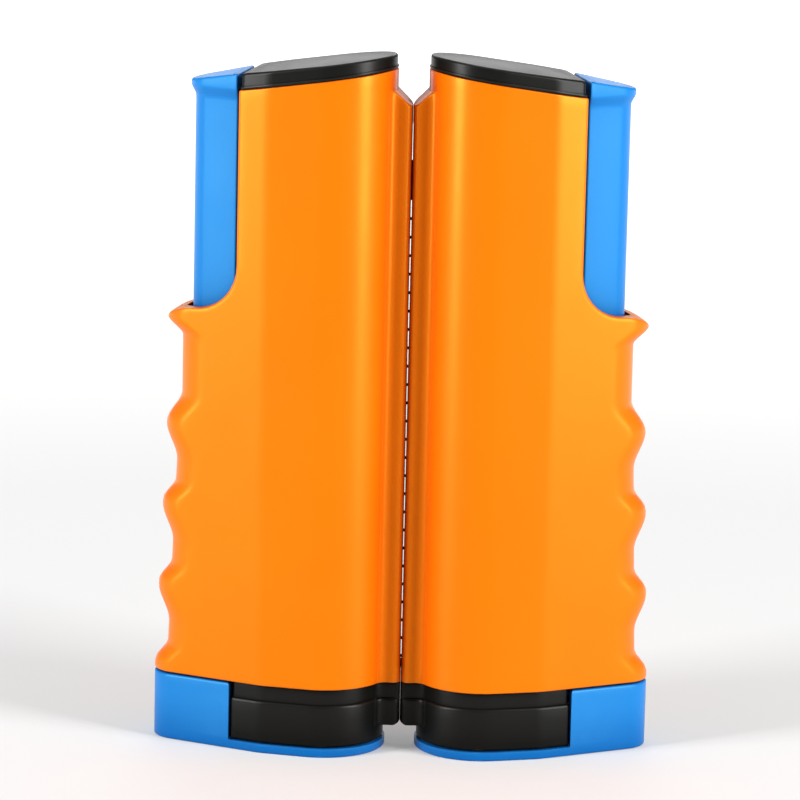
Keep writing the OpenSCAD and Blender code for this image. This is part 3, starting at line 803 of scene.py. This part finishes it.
def lip_half_mesh(sign):
    """Closed half of the lip, back for sign 1 and front for -1, with the net slot cut in its inner side."""
    mesh = Mesh()
    rows = [(BODY_Z + 0.0, 0.4), (BODY_Z + 0.12, 0.12), (BODY_Z + 0.4, 0.0), (SLOT_LOW - 0.6, 0.0)]
    rows += [(SLOT_LOW - 0.2, 0.0), (SLOT_LOW, 0.0), (SLOT_LOW + 0.3, 0.0), (SLOT_LOW + 1.0, 0.0)]
    rows += [(SLOT_LOW + 1.0 + (SLOT_HIGH - 2 - SLOT_LOW) * i / 24, 0.0) for i in range(1, 25)]
    rows += [(SLOT_HIGH - 0.3, 0.0), (SLOT_HIGH, 0.0), (SLOT_HIGH + 0.2, 0.0)]

    def outline(z, inset, half):
        at = inset + mouth_inset(z)
        corner, fillet = lip_arcs(sign, inset, at)
        mouth = [(mouth_u(half, sign, at) + 1.2, half), (mouth_u(half, sign, at) + 0.35, half)]
        mouth += [(mouth_u(half + 0.1, sign, at) + 0.08, half + 0.1), (mouth_u(half + 0.35, sign, at), half + 0.35)]
        return mouth + corner + fillet + [(6.6, 5.6), (7.3, 3.4), (7.3, half)]

    def half_at(z):
        low, high = ease((z - SLOT_LOW + 0.6) / 1.2), ease((SLOT_HIGH + 0.2 - z) / 0.9)
        return PARTING_V + (SLOT_HALF - PARTING_V) * min(low, high)

    rings = [[(u, v, z) for u, v in outline(z, inset, half_at(z))] for z, inset in rows]
    start = SLOT_HIGH + 0.2
    r = 0.7
    tops = [(1 / 3, 0.0, 0.0), (2 / 3, 0.0, 0.0), (1.0, 0.0, -r), (1.0, 0.05, -0.6 * r), (1.0, 0.25, -0.2 * r), (1.0, r, 0.0)]
    for share, inset, rise in tops:
        ring = []
        for u, v in outline(start, inset, PARTING_V):
            end = lip_top(u) + rise
            ring.append((u, v, start + (end - start) * share))
        rings.append(ring)
    mesh.grid(rings, closed=True)
    mesh.polygon(rings[0])
    mesh.polygon(rings[-1])
    return mesh


def lip_top(u):
    edge = mouth_u(LIP_HALF - LIP_R, 1, 0.0)
    return LIP_TOP_Z + LIP_RISE * min(max((u - edge) / (NOSE_U - NOSE_R - edge), 0.0), 1.6)


def mirrored(mesh, sign):
    out = Mesh()
    return out.add([(u, sign * v, z) for u, v, z in mesh.points], mesh.faces)


HALF_SHELL = half_shell_mesh()


def boss(z, sign):
    """Bored post for a screw, from the parting plane to inside the wall; the back one takes the head."""
    bore, head = SCREW_R + 0.15, HEAD_R + 0.1
    profile = [(bore, PARTING_V), (BOSS_R - 0.3, PARTING_V), (BOSS_R, 0.3), (BOSS_R, BOSS_END)]
    profile += [(head, BOSS_END), (head, HEAD_SEAT), (bore, HEAD_SEAT)] if sign > 0 else [(bore, BOSS_END)]
    return revolve(Mesh(), (BOSS_U, 0, z), [(r, sign * h) for r, h in profile + profile[:1]], 32, "y")


def counterbore(z, side):
    r = HEAD_R + 0.1
    profile = [(0.0, HEAD_SEAT), (r, HEAD_SEAT), (r, 25.0), (0.0, 25.0)]
    return new_object("tool", revolve(Mesh(), (BOSS_U, 0, z), profile, 40, "y"), side)


def join(o, parts, smooth=35):
    """Adds closed parts to o's mesh."""
    bm = bmesh.new()
    for part in [o, *parts]:
        bm.from_mesh(part.data)
    bm.to_mesh(o.data)
    bm.free()
    for part in parts:
        bpy.data.objects.remove(part)
    shade(o, smooth)


def shells(side):
    for half, sign in (("front", -1), ("back", 1)):
        o = new_object(f"{side}_{half}_shell", mirrored(HALF_SHELL, sign), side)
        if sign > 0:
            cut(o, [counterbore(z, side) for z in BOSS_ZS])
        parts = [mirrored(lip_half_mesh(sign), sign)] + [boss(z, sign) for z in BOSS_ZS]
        join(o, [new_object("part", part, side) for part in parts])
        wear(o, "orange_abs", f"{side}_post", f"{side}_shell_{half}")


# ---------------------------------------------------------------- outlines of the other pieces
def handle_half(inset, end_u=None, corner=1.0, lip=0):
    """Half of the handle's outline, from the seam side to the far end or to a flat face at end_u."""
    if lip:
        corner_arc, fillet = lip_arcs(lip, inset, MOUTH_INSET)
        front, nose_start = [(mouth_u(0.0, lip, MOUTH_INSET), 0.0)] + corner_arc + fillet[:-1], 180 - FILLET_TURN
    else:
        front, nose_start = [(NOSE_U - NOSE_R + inset, 0.0)], 176
    points = front + arc((NOSE_U, 0), NOSE_R - inset, nose_start, math.degrees(NOSE_ANGLE), 26)
    points += arc((BELLY_U, 0), BELLY_R - inset, math.degrees(NOSE_ANGLE), math.degrees(FLANK_ANGLE), 5)[1:]
    if end_u is None:
        points += arc((FINGER_U, 0), FINGER_R - inset, math.degrees(FLANK_ANGLE), 4, 20) + [(FINGER_U + FINGER_R - inset, 0.0)]
        return points
    v = flank_v(end_u, inset)
    before = (end_u - corner * COS_F, v + corner * SIN_F)
    after = (end_u, v - corner)
    return points + [before] + [p[:2] for p in bezier((*before, 0), (end_u, v, 0), (*after, 0), 5)] + [after, (end_u, 0.0)]


def with_lip(*sizes):
    """Closed outline of the handle and its lip, whose front and back halves differ."""
    return handle_half(*sizes, lip=1) + [(u, -v) for u, v in reversed(handle_half(*sizes, lip=-1)) if v > 1e-9]


def lever_half(grow=0.0, corner=0.8):
    """Back half of the lever's outline, from its flat face round the outer edge."""
    slope = (LEVER_ROOT_R - LEVER_R) / (LEVER_C - LEVER_ROOT_U)
    tilt = math.degrees(math.asin(slope))
    co = math.sqrt(1 - slope * slope)
    v = (LEVER_ROOT_R + grow - (LEVER_FACE_U - LEVER_ROOT_U) * slope) / co
    before, after = (LEVER_FACE_U, v - corner), (LEVER_FACE_U + corner * co, v - corner * slope)
    points = [(LEVER_FACE_U, 0.0), before] + [p[:2] for p in bezier((*before, 0), (LEVER_FACE_U, v, 0), (*after, 0), 5)] + [after]
    end = arc((LEVER_C, 0), LEVER_R + grow, 90 - tilt, 4, 20)
    first = end[0]
    between = [(after[0] + (first[0] - after[0]) * i / 5, after[1] + (first[1] - after[1]) * i / 5) for i in range(1, 5)]
    return points + between + end + [(LEVER_C + LEVER_R + grow, 0.0)]


# ---------------------------------------------------------------- black pieces
def top_cap(side):
    """Slanted cap: plug, a small flange, a stepped rim with a rounded edge, and a faintly crowned top."""
    mesh = Mesh()
    rings = []
    profile = [(2.15, -4.0, 0), (2.15, 0.12, 0), (0.45, 0.12, 0), (0.12, 0.22, 0), (0.0, 0.42, 0), (0.0, 0.72, 0),
               (0.10, 0.92, 0), (0.30, 1.0, 0), (0.32, 1.2, 0)]
    r = 0.95
    for i in range(6):
        a = math.pi / 2 * i / 5
        profile.append((0.32 + r * (1 - math.cos(a)), -r * (1 - math.sin(a)), 1))
    profile += [(1.9, 0.0, 1), (2.15, -0.10, 1), (2.5, -0.12, 1), (2.9, -0.05, 1)]
    for inset, rise, high in profile:
        ring = whole(handle_half(inset, CAP_END_U - inset, 1.6 - 0.5 * min(inset, 1.8)))
        rings.append([(u, v, (cap_z(u) if high else top_z(u)) + rise) for u, v in ring])
    inner = whole(handle_half(2.9, CAP_END_U - 2.9, 0.7))
    for share in (0.12, 0.26, 0.42, 0.6, 0.78, 0.93):
        ring = []
        for u, v in inner:
            cu = min(max(u, 25.0), 34.0)
            pu, pv = u + (cu - u) * share, v * (1 - share)
            ring.append((pu, pv, cap_z(pu) - 0.05 + 1.05 * (1 - (1 - share) ** 2)))
        rings.append(ring)
    mesh.grid(rings, closed=True)
    mesh.polygon(rings[0])
    mesh.polygon(rings[-1])
    wear(new_object(f"{side}_cap", mesh, side), "black_abs", f"{side}_post", f"{side}_top_cap")


def base_cap(side):
    """Inset band under the handle, and the floor plate inside it that guides the lever's rod."""
    mesh = Mesh()
    slab(mesh, with_lip(BAND_INSET, SPLIT_U - 0.4, 0.8), TIER_Z - 0.3, BODY_Z, 0.1, 0.35)
    o = new_object(f"{side}_base_band", mesh, side)
    plate = Mesh()
    half = [p for p in handle_half(2.2) if p[0] < FLOOR_END_U]
    slab(plate, whole(half + [(FLOOR_END_U, 0.0)]), BODY_Z + 0.02, FLOOR_Z, 0.1, 0.4)
    plate_o = new_object("plate", plate, side)
    hole = Mesh()
    c = ROD_CLEAR
    box(hole, (ROD_U - c, -ROD_T / 2 - c, 10), (ROD_U + ROD_W + c, ROD_T / 2 + c, 30))
    cut(plate_o, [new_object("tool", hole, side)])
    wear(plate_o, "black_abs", None)
    plate_o.name = f"{side}_floor"
    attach(plate_o, f"{side}_post")
    wear(o, "black_abs", f"{side}_post", f"{side}_base_cap")


def upper_jaw(side):
    """Fixed jaw with rounded tiers, a pocket for its pad, and the foot under the net slot."""
    mesh = Mesh()
    slab(mesh, whole(handle_half(JAW_INSET, SPLIT_U, 0.8)), GRIP_Z, TIER_Z, 0.5, 0.9, 5)
    o = new_object(f"{side}_upper_jaw_body", mesh, side)
    pocket = Mesh()
    slab(pocket, whole(handle_half(PAD_INSET - 0.05, SPLIT_U - PAD_INSET + 0.05, 0.8)), GRIP_Z - 2, GRIP_Z - PAD_PROUD + PAD_H, 0.2, 0.2)
    cut(o, [new_object("tool", pocket, side)])
    wear(o, "black_abs", f"{side}_post", f"{side}_upper_jaw")
    # The foot's lower edge rises in a quarter round towards the seam.
    foot, edge = Mesh(), mouth_u(LIP_HALF, -1, MOUTH_INSET)
    back, front = ([p for p in handle_half(JAW_INSET, None, lip=sign) if p[0] < 6.3] for sign in (1, -1))
    outline = back + [(8.6, 5.4), (8.6, -5.4)] + [(u, -v) for u, v in reversed(front) if v > 1e-9]

    def under(u):
        d = max(edge + FOOT_R - u, 0.0)
        return FOOT_Z + FOOT_R - math.sqrt(max(FOOT_R ** 2 - d * d, 0.0))

    slab(foot, outline, under, TIER_Z, 0.3, 0.9, 5, 6)
    wear(new_object(f"{side}_foot", foot, side), "black_abs", f"{side}_post")


# ---------------------------------------------------------------- blue pieces
def lower_jaw(side):
    """Moving jaw: a thin plate under the whole post and a tall block under the finger end."""
    mesh = Mesh()
    slab(mesh, whole(handle_half(0.0)), 0.0, BLOCK_Z, 0.6, 0.7, 5, 12)
    o = new_object(f"{side}_jaw", mesh, side)
    step = Mesh()
    start = SPLIT_U + SPLIT_GAP
    profile = [(-20.0, 60.0), (-20.0, PLATE_H), (start - 0.5, PLATE_H)]
    profile += [(start - 0.35, PLATE_H + 0.03), (start - 0.12, PLATE_H + 0.14), (start, PLATE_H + 0.5)]
    profile += [(start, BLOCK_Z - 0.8), (start + 0.1, BLOCK_Z - 0.35), (start + 0.35, BLOCK_Z - 0.1), (start + 0.8, BLOCK_Z)]
    profile += [(start + 0.8, 60.0)]
    step.grid([[(u, v, z) for u, z in profile] for v in (-40.0, 40.0)], closed=True)
    step.polygon([(u, -40.0, z) for u, z in profile])
    step.polygon([(u, 40.0, z) for u, z in profile])
    pocket = Mesh()
    slab(pocket, whole(handle_half(PAD_INSET - 0.05, SPLIT_U - PAD_INSET + 0.05, 0.8)), PLATE_H + PAD_PROUD - PAD_H, 8.0, 0.2, 0.2)
    heads = Mesh()
    for u in JAW_SCREW_US:
        revolve(heads, (u, 0, 0), [(0.0, -2.0), (HEAD_R + 0.05, -2.0), (HEAD_R + 0.05, JAW_HEAD_Z + HEAD_H + 0.05), (0.0, JAW_HEAD_Z + HEAD_H + 0.05)], 40)
    cut(o, [new_object("tool", m, side) for m in (step, pocket, heads)])
    wear(o, "blue_abs", f"{side}_clamp", f"{side}_lower_jaw")


def lever(side):
    """Thumb lever: a D-shaped bar that flares into a slanted, dished pad, and the arm and rod below."""
    mesh = Mesh()

    def high(u):
        return PAD_HIGH_Z + (PAD_LOW_Z - PAD_HIGH_Z) * (u - LEVER_FACE_U) / (LEVER_U + PAD_FLARE - LEVER_FACE_U)

    levels = [(WIDE_Z, -0.3), (WIDE_Z + 0.12, -0.1), (WIDE_Z + 0.4, 0.0)]
    levels += [(WIDE_Z + 0.4 + (PAD_Z - WIDE_Z - 1.4) * i / 14, 0.0) for i in range(1, 15)]
    levels += [(PAD_Z - 0.5 + 3.4 * i / 8, PAD_FLARE * ease(i / 8)) for i in range(1, 9)]
    rings = [[(u, v, z) for u, v in whole(lever_half(g))] for z, g in levels]
    start = levels[-1][0]
    outline = whole(lever_half(PAD_FLARE))
    r = 0.8
    tops = [(0.5, 0.0, None)] + [(1.0, r * (1 - math.cos(a)), -r * (1 - math.sin(a))) for a in
                                 [math.pi / 2 * i / 5 for i in range(6)]]
    tops += [(1.0, 1.3, -0.06)]
    for share, inset, rise in tops:
        ring = []
        for u, v in grown(outline, -inset):
            end = high(u) - (r if rise is None else 0) + (rise or 0.0)
            ring.append((u, v, start + (end - start) * share))
        rings.append(ring)
    rim_ring = grown(outline, -1.3)
    for share in (0.2, 0.4, 0.6, 0.8, 0.95):
        ring = []
        for u, v in rim_ring:
            cu = min(max(u, 52.5), 54.5)
            pu, pv = u + (cu - u) * share, v * (1 - share)
            ring.append((pu, pv, high(pu) - 0.06 - 0.75 * ease(share * 1.15)))
        rings.append(ring)
    mesh.grid(rings, closed=True)
    mesh.polygon(rings[0])
    mesh.polygon(rings[-1])
    rod = Mesh()
    corners = [(ROD_U, 0.0), (ROD_U, ROD_T / 2 - 1), (ROD_U + 1, ROD_T / 2), (ROD_U + ROD_W - 1, ROD_T / 2)]
    corners += [(ROD_U + ROD_W, ROD_T / 2 - 1), (ROD_U + ROD_W, 0.0)]
    slab(mesh, whole(corners), ROD_Z + 0.02, WIDE_Z + 2, 0.3, 0.3, 3, 8)
    arm = [(SPRING_U - SPRING_R - WIRE_R, 0.0), (SPRING_U - SPRING_R - WIRE_R, ROD_T / 2 - 2), (SPRING_U - SPRING_R + 1, ROD_T / 2)]
    slab(mesh, whole(arm + [(ROD_U + 2, ROD_T / 2 - 0.01), (ROD_U + 2, 0.0)]), WIDE_Z + 0.01, WIDE_Z + ARM_H, 0.4, 0.8, 4, 3)
    wear(new_object(f"{side}_thumb_lever", mesh, side), "blue_abs", f"{side}_clamp", f"{side}_lever")


# ---------------------------------------------------------------- rubber, screws and springs
def pads(side):
    """Rubber pads with moulded ribs across them."""
    outline = whole(handle_half(PAD_INSET + 0.03, SPLIT_U - PAD_INSET - 0.03, 0.8))
    jobs = (("upper", "post", GRIP_Z - PAD_PROUD, -1), ("lower", "clamp", PLATE_H + PAD_PROUD, 1))
    for name, body, face_z, up in jobs:
        mesh = Mesh()
        back_z = face_z - up * (PAD_H - 0.02)
        slab(mesh, outline, min(face_z, back_z), max(face_z, back_z), 0.15, 0.15, 3, 1)
        o = new_object(f"{side}_{name}_rubber", mesh, side)
        grooves = Mesh()
        for i in range(13):
            u = 9.0 + 2.9 * i
            a, b = sorted((face_z + up * 1.0, face_z - up * 0.45))
            box(grooves, (u, -14.5, a), (u + 1.0, 14.5, b))
        cut(o, [new_object("tool", grooves, side)])
        wear(o, "rubber", f"{side}_{body}", f"{side}_{name}_pad")


def screw_profile(head_r, head_h, shaft_r, length):
    """Pan head, then a threaded shaft to a blunt point."""
    profile = [(0.0, 0.0), (head_r - 0.5, 0.0), (head_r - 0.12, 0.18), (head_r, 0.5), (head_r, head_h), (shaft_r * 0.8, head_h)]
    turns = int((length - head_h - 1.5) / 0.8)
    for i in range(turns):
        h = head_h + 0.4 + 0.8 * i
        profile += [(shaft_r * 0.8, h), (shaft_r, h + 0.3), (shaft_r * 0.8, h + 0.6)]
    return profile + [(shaft_r * 0.8, length - 1.0), (0.4, length - 0.05), (0.0, length)]


def screws(side):
    mesh, crosses = Mesh(), Mesh()
    long = HEAD_SEAT + HEAD_H + SCREW_TIP
    for z in BOSS_ZS:
        profile = [(r, HEAD_SEAT + HEAD_H - h) for r, h in screw_profile(HEAD_R, HEAD_H, SCREW_R, long)]
        revolve(mesh, (BOSS_U, 0, z), profile, 32, "y")
        y0, y1 = HEAD_SEAT + HEAD_H - 0.8, HEAD_SEAT + HEAD_H + 1
        box(crosses, (BOSS_U - 1.5, y0, z - 0.3), (BOSS_U + 1.5, y1, z + 0.3))
        box(crosses, (BOSS_U - 0.3, y0, z - 1.5), (BOSS_U + 0.3, y1, z + 1.5))
    o = new_object(f"{side}_body_screws", mesh, side, 40)
    cut(o, split_tools(crosses, side))
    wear(o, "steel", f"{side}_post", f"{side}_shell_screws")
    mesh, crosses = Mesh(), Mesh()
    for u in JAW_SCREW_US:
        profile = [(r, JAW_HEAD_Z + h) for r, h in screw_profile(HEAD_R, HEAD_H, JAW_SCREW_R, JAW_SCREW_TOP - JAW_HEAD_Z)]
        revolve(mesh, (u, 0, 0), profile, 32)
        box(crosses, (u - 1.5, -0.3, -1), (u + 1.5, 0.3, JAW_HEAD_Z + 0.8))
        box(crosses, (u - 0.3, -1.5, -1), (u + 0.3, 1.5, JAW_HEAD_Z + 0.8))
    o = new_object(f"{side}_clamp_screws", mesh, side, 40)
    cut(o, split_tools(crosses, side))
    wear(o, "steel", f"{side}_clamp", f"{side}_jaw_screws")


def split_tools(mesh, side):
    """One cutting object for each box in mesh, because the boxes cross each other."""
    made = []
    for i in range(0, len(mesh.points), 8):
        part = Mesh().add(mesh.points[i:i + 8], [[k - i for k in f] for f in mesh.faces if i <= f[0] < i + 8])
        made.append(new_object("tool", part, side))
    return made


def return_spring(side):
    """Coil spring with closed ends, built at one fixed length, though the real one shortens as the clamp opens."""
    per_turn, sides_n = 28, 10
    count = SPRING_TURNS * per_turn
    low, high = SPRING_Z + WIRE_R, WIDE_Z - WIRE_R
    rows = []
    for i in range(count + 1):
        t = i / count
        flat = 1.2 / SPRING_TURNS
        rise = max(min((t - flat) / (1 - 2 * flat), 1.0), 0.0)
        z = low + (high - low - 4 * WIRE_R) * rise + 2 * WIRE_R * (min(t / flat, 1.0) + max((t - 1) / flat + 1, 0.0))
        a = 2 * math.pi * i / per_turn
        row = []
        for k in range(sides_n):
            b = 2 * math.pi * k / sides_n
            r = SPRING_R + WIRE_R * math.cos(b)
            row.append((SPRING_U + r * math.cos(a), r * math.sin(a), z + WIRE_R * 0.95 * math.sin(b)))
        rows.append(row)
    mesh = Mesh().grid(rows, closed=True)
    mesh.polygon(rows[0])
    mesh.polygon(rows[-1])
    o = new_object(f"{side}_coil_spring", mesh, side, 60)
    wear(o, "spring_steel", f"{side}_post", f"{side}_return_spring")
    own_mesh(o)


# ---------------------------------------------------------------- net
STRING, MESH_PITCH = 0.8, 5.2
TAPE_LOW = 156.5
NET_TOP = NET_Z + NET_H
STRETCH_HALF = 6.5
ROLL_TURNS = 16


def string_heights():
    """Heights of the net's horizontal strings, from the hem up to the tape."""
    count = int((TAPE_LOW - NET_Z - 3) / MESH_PITCH)
    return [TAPE_LOW - MESH_PITCH * (i + 1) for i in range(count)]


def net_roll(side):
    """The wound net: one spiral strip from the core to the outer turn."""
    mesh = Mesh()
    per_turn, thick = 48, 0.16
    count = ROLL_TURNS * per_turn
    heights = [NET_Z + 0.2, NET_Z + 3, *reversed(string_heights()), TAPE_LOW, NET_TOP - 0.2]
    outer, inner = [], []
    for i in range(count + 1):
        a = 2 * math.pi * i / per_turn
        r = CORE_R + 0.15 + (ROLL_R - CORE_R - 0.35) * i / count
        c, s = math.cos(a), math.sin(a)
        outer.append([(NOSE_U + (r + thick) * c, (r + thick) * s, z) for z in heights])
        inner.append([(NOSE_U + r * c, r * s, z) for z in heights])
    rows = [o + i[::-1] for o, i in zip(outer, inner)]
    mesh.grid(rows, closed=True)
    mesh.polygon(rows[0])
    mesh.polygon(rows[-1])
    o = new_object(f"{side}_wound_net", mesh, side, 60)
    wear(o, "net", f"{side}_reel", f"{side}_net_roll")


def unease(share):
    """The t at which ease(t) is share."""
    return 0.5 - math.sin(math.asin(1 - 2 * share) / 3)


def net_between():
    """The net between the posts. Its strings lie almost on each other when the posts are together."""
    points, faces = [], []

    def bar(low, high):
        base = len(points)
        (a, b, c), (d, e, f) = low, high
        points.extend((x * 0.001, y * 0.001, z * 0.001) for z in (c, f) for x, y in ((a, b), (d, b), (d, e), (a, e)))
        for face in ((0, 3, 2, 1), (4, 5, 6, 7), (0, 1, 5, 4), (1, 2, 6, 5), (2, 3, 7, 6), (3, 0, 4, 7)):
            faces.append([base + i for i in face])

    y = -DEPTH_MID
    w = STRETCH_HALF
    steps = 24
    xs = [-w + 2 * w * i / steps for i in range(steps + 1)]

    def band(z0, z1, thick):
        """A strip right across, in steps, as one closed bar."""
        base = len(points)
        for x in xs:
            points.extend((x * 0.001, (y + dy) * 0.001, z * 0.001) for dy, z in
                          ((-thick / 2, z0), (thick / 2, z0), (thick / 2, z1), (-thick / 2, z1)))
        for i in range(steps):
            for k in range(4):
                n = (k + 1) % 4
                faces.append([base + 4 * i + k, base + 4 * i + n, base + 4 * i + 4 + n, base + 4 * i + 4 + k])
        faces.append([base + k for k in (3, 2, 1, 0)])
        faces.append([base + 4 * steps + k for k in range(4)])

    for z in string_heights():
        band(z - STRING / 2, z + STRING / 2, 0.5)
    band(TAPE_LOW, NET_TOP, 0.8)
    band(NET_Z, NET_Z + 2.6, 0.7)
    strings, width = 300, 0.0026
    for i in range(1, strings):
        x = -w + 2 * w * unease(i / strings)
        bar((x - width / 2, y - width / 2, NET_Z + 1), (x + width / 2, y + width / 2, TAPE_LOW + 1))
    data = bpy.data.meshes.new("net_between")
    data.from_pydata(points, [], faces)
    o = bpy.data.objects.new("net_between", data)
    bpy.context.scene.collection.objects.link(o)
    wear(o, "net", None, "left_net_web", "right_net_web")
    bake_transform(o)


def net_lead(side):
    """The net from the seam's strings to the roll, inside the post."""
    mesh = Mesh()
    web_u = NOSE_U - NOSE_R + WALL + 0.4
    reach = NOSE_U - web_u
    r = ROLL_R + 0.3
    swing = math.acos(r / reach)
    touch = (NOSE_U - r * math.cos(swing), r * math.sin(swing))
    path = [(STRETCH_HALF / math.cos(SPLAY) - 0.4, 0.0), touch]
    for z0, z1, t in [(z - STRING / 2, z + STRING / 2, 0.25) for z in string_heights()] + [
            (TAPE_LOW, NET_TOP, 0.4), (NET_Z, NET_Z + 2.6, 0.35)]:
        rows = [[(u, v - t, z0), (u, v + t, z0), (u, v + t, z1), (u, v - t, z1)] for u, v in path]
        mesh.grid(rows, closed=True)
        mesh.polygon(rows[0])
        mesh.polygon(rows[-1])
    for share in (0.25, 0.6, 0.95):
        u, v = lerp(path[0], path[1], share)
        box(mesh, (u - 0.2, v - 0.2, NET_Z + 1), (u + 0.2, v + 0.2, TAPE_LOW + 1))
    wear(new_object(f"{side}_net_lead", mesh, side), "net", f"{side}_post")


KEPT = {"axle_bracket": "black_abs", "reel_axle": "steel", "spring_guide": "steel", "reel_spool": "white_acetal",
        "spring_drum": "black_abs", "retract_spring": "spring_steel"}


def kept_nodes(side):
    for name, slot in KEPT.items():
        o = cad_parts[f"{side}_{name}"]
        o.data.materials.clear()
        o.data.materials.append(MATERIALS[slot])


for side in SIDES:
    shells(side)
    top_cap(side)
    base_cap(side)
    upper_jaw(side)
    lower_jaw(side)
    lever(side)
    pads(side)
    screws(side)
    return_spring(side)
    net_roll(side)
    net_lead(side)
    kept_nodes(side)
net_between()


# ---------------------------------------------------------------- floor and light
FLOOR_HALF = 9.0


def floor():
    """Pale floor that glows softly, less towards the front, so that it stays white in the picture."""
    data = bpy.data.meshes.new("floor")
    rows, steps = [], 6
    for i in range(steps + 1):
        for j in range(steps + 1):
            rows.append((FLOOR_HALF * (2 * i / steps - 1), FLOOR_HALF * (2 * j / steps - 1), 0.0))
    faces = []
    for i in range(steps):
        for j in range(steps):
            k = i * (steps + 1) + j
            faces.append([k, k + steps + 1, k + steps + 2, k + 1])
    data.from_pydata(rows, [], faces)
    o = bpy.data.objects.new("floor", data)
    bpy.context.scene.collection.objects.link(o)
    m = Nodes("pale_floor")
    spot = m.node("ShaderNodeTexCoord").outputs["Object"]
    away = m.node("ShaderNodeVectorMath", operation="LENGTH")
    m.link(spot, away.inputs[0])
    far = m.ramp(away.outputs["Value"], 0.0, 1.0, 0.35, 0.9)
    m.link(m.mix(far, (0.55, 0.55, 0.55), (0.12, 0.12, 0.12)), m.shader.inputs["Base Color"])
    split = m.node("ShaderNodeSeparateXYZ")
    m.link(spot, split.inputs[0])
    glow = m.node("ShaderNodeMath", operation="ADD")
    m.link(m.ramp(split.outputs["Y"], 0.07, 0.95, -0.35, 2.2), glow.inputs[0])
    m.link(m.ramp(far, 0.0, 0.66, 0.0, 1.0), glow.inputs[1])
    m.link(glow.outputs[0], m.shader.inputs["Emission Strength"])
    m.set(Roughness=0.7, Specular_IOR_Level=0.1, Emission_Color=(1, 1, 0.995, 1))
    data.materials.append(m.material)


def softbox(name, azimuth, height, distance, size, power, aim=(0, 0, 0.1)):
    data = bpy.data.lights.new(name, "AREA")
    data.shape, data.size, data.size_y, data.energy = "RECTANGLE", size[0], size[1], power
    o = bpy.data.objects.new(name, data)
    bpy.context.scene.collection.objects.link(o)
    a = math.radians(azimuth)
    o.location = (distance * math.sin(a), -distance * math.cos(a), height)
    o.rotation_euler = (Vector(aim) - o.location).to_track_quat("-Z", "Y").to_euler()


def lights():
    world = bpy.data.worlds.new("world")
    world.use_nodes = True
    world.node_tree.nodes["Background"].inputs["Color"].default_value = (1, 1, 1, 1)
    world.node_tree.nodes["Background"].inputs["Strength"].default_value = 0.16
    bpy.context.scene.world = world
    softbox("left_soft", -63, 0.45, 1.0, (0.26, 1.0), 14.5)
    softbox("right_soft", 60, 0.45, 1.0, (0.34, 1.0), 16.5)
    softbox("top_soft", 0, 1.3, -0.1, (1.2, 0.8), 4.5)
    softbox("back_soft", 180, 0.8, 1.5, (1.2, 0.8), 6.0)


floor()
lights()
bpy.context.scene.view_settings.view_transform = "Standard"
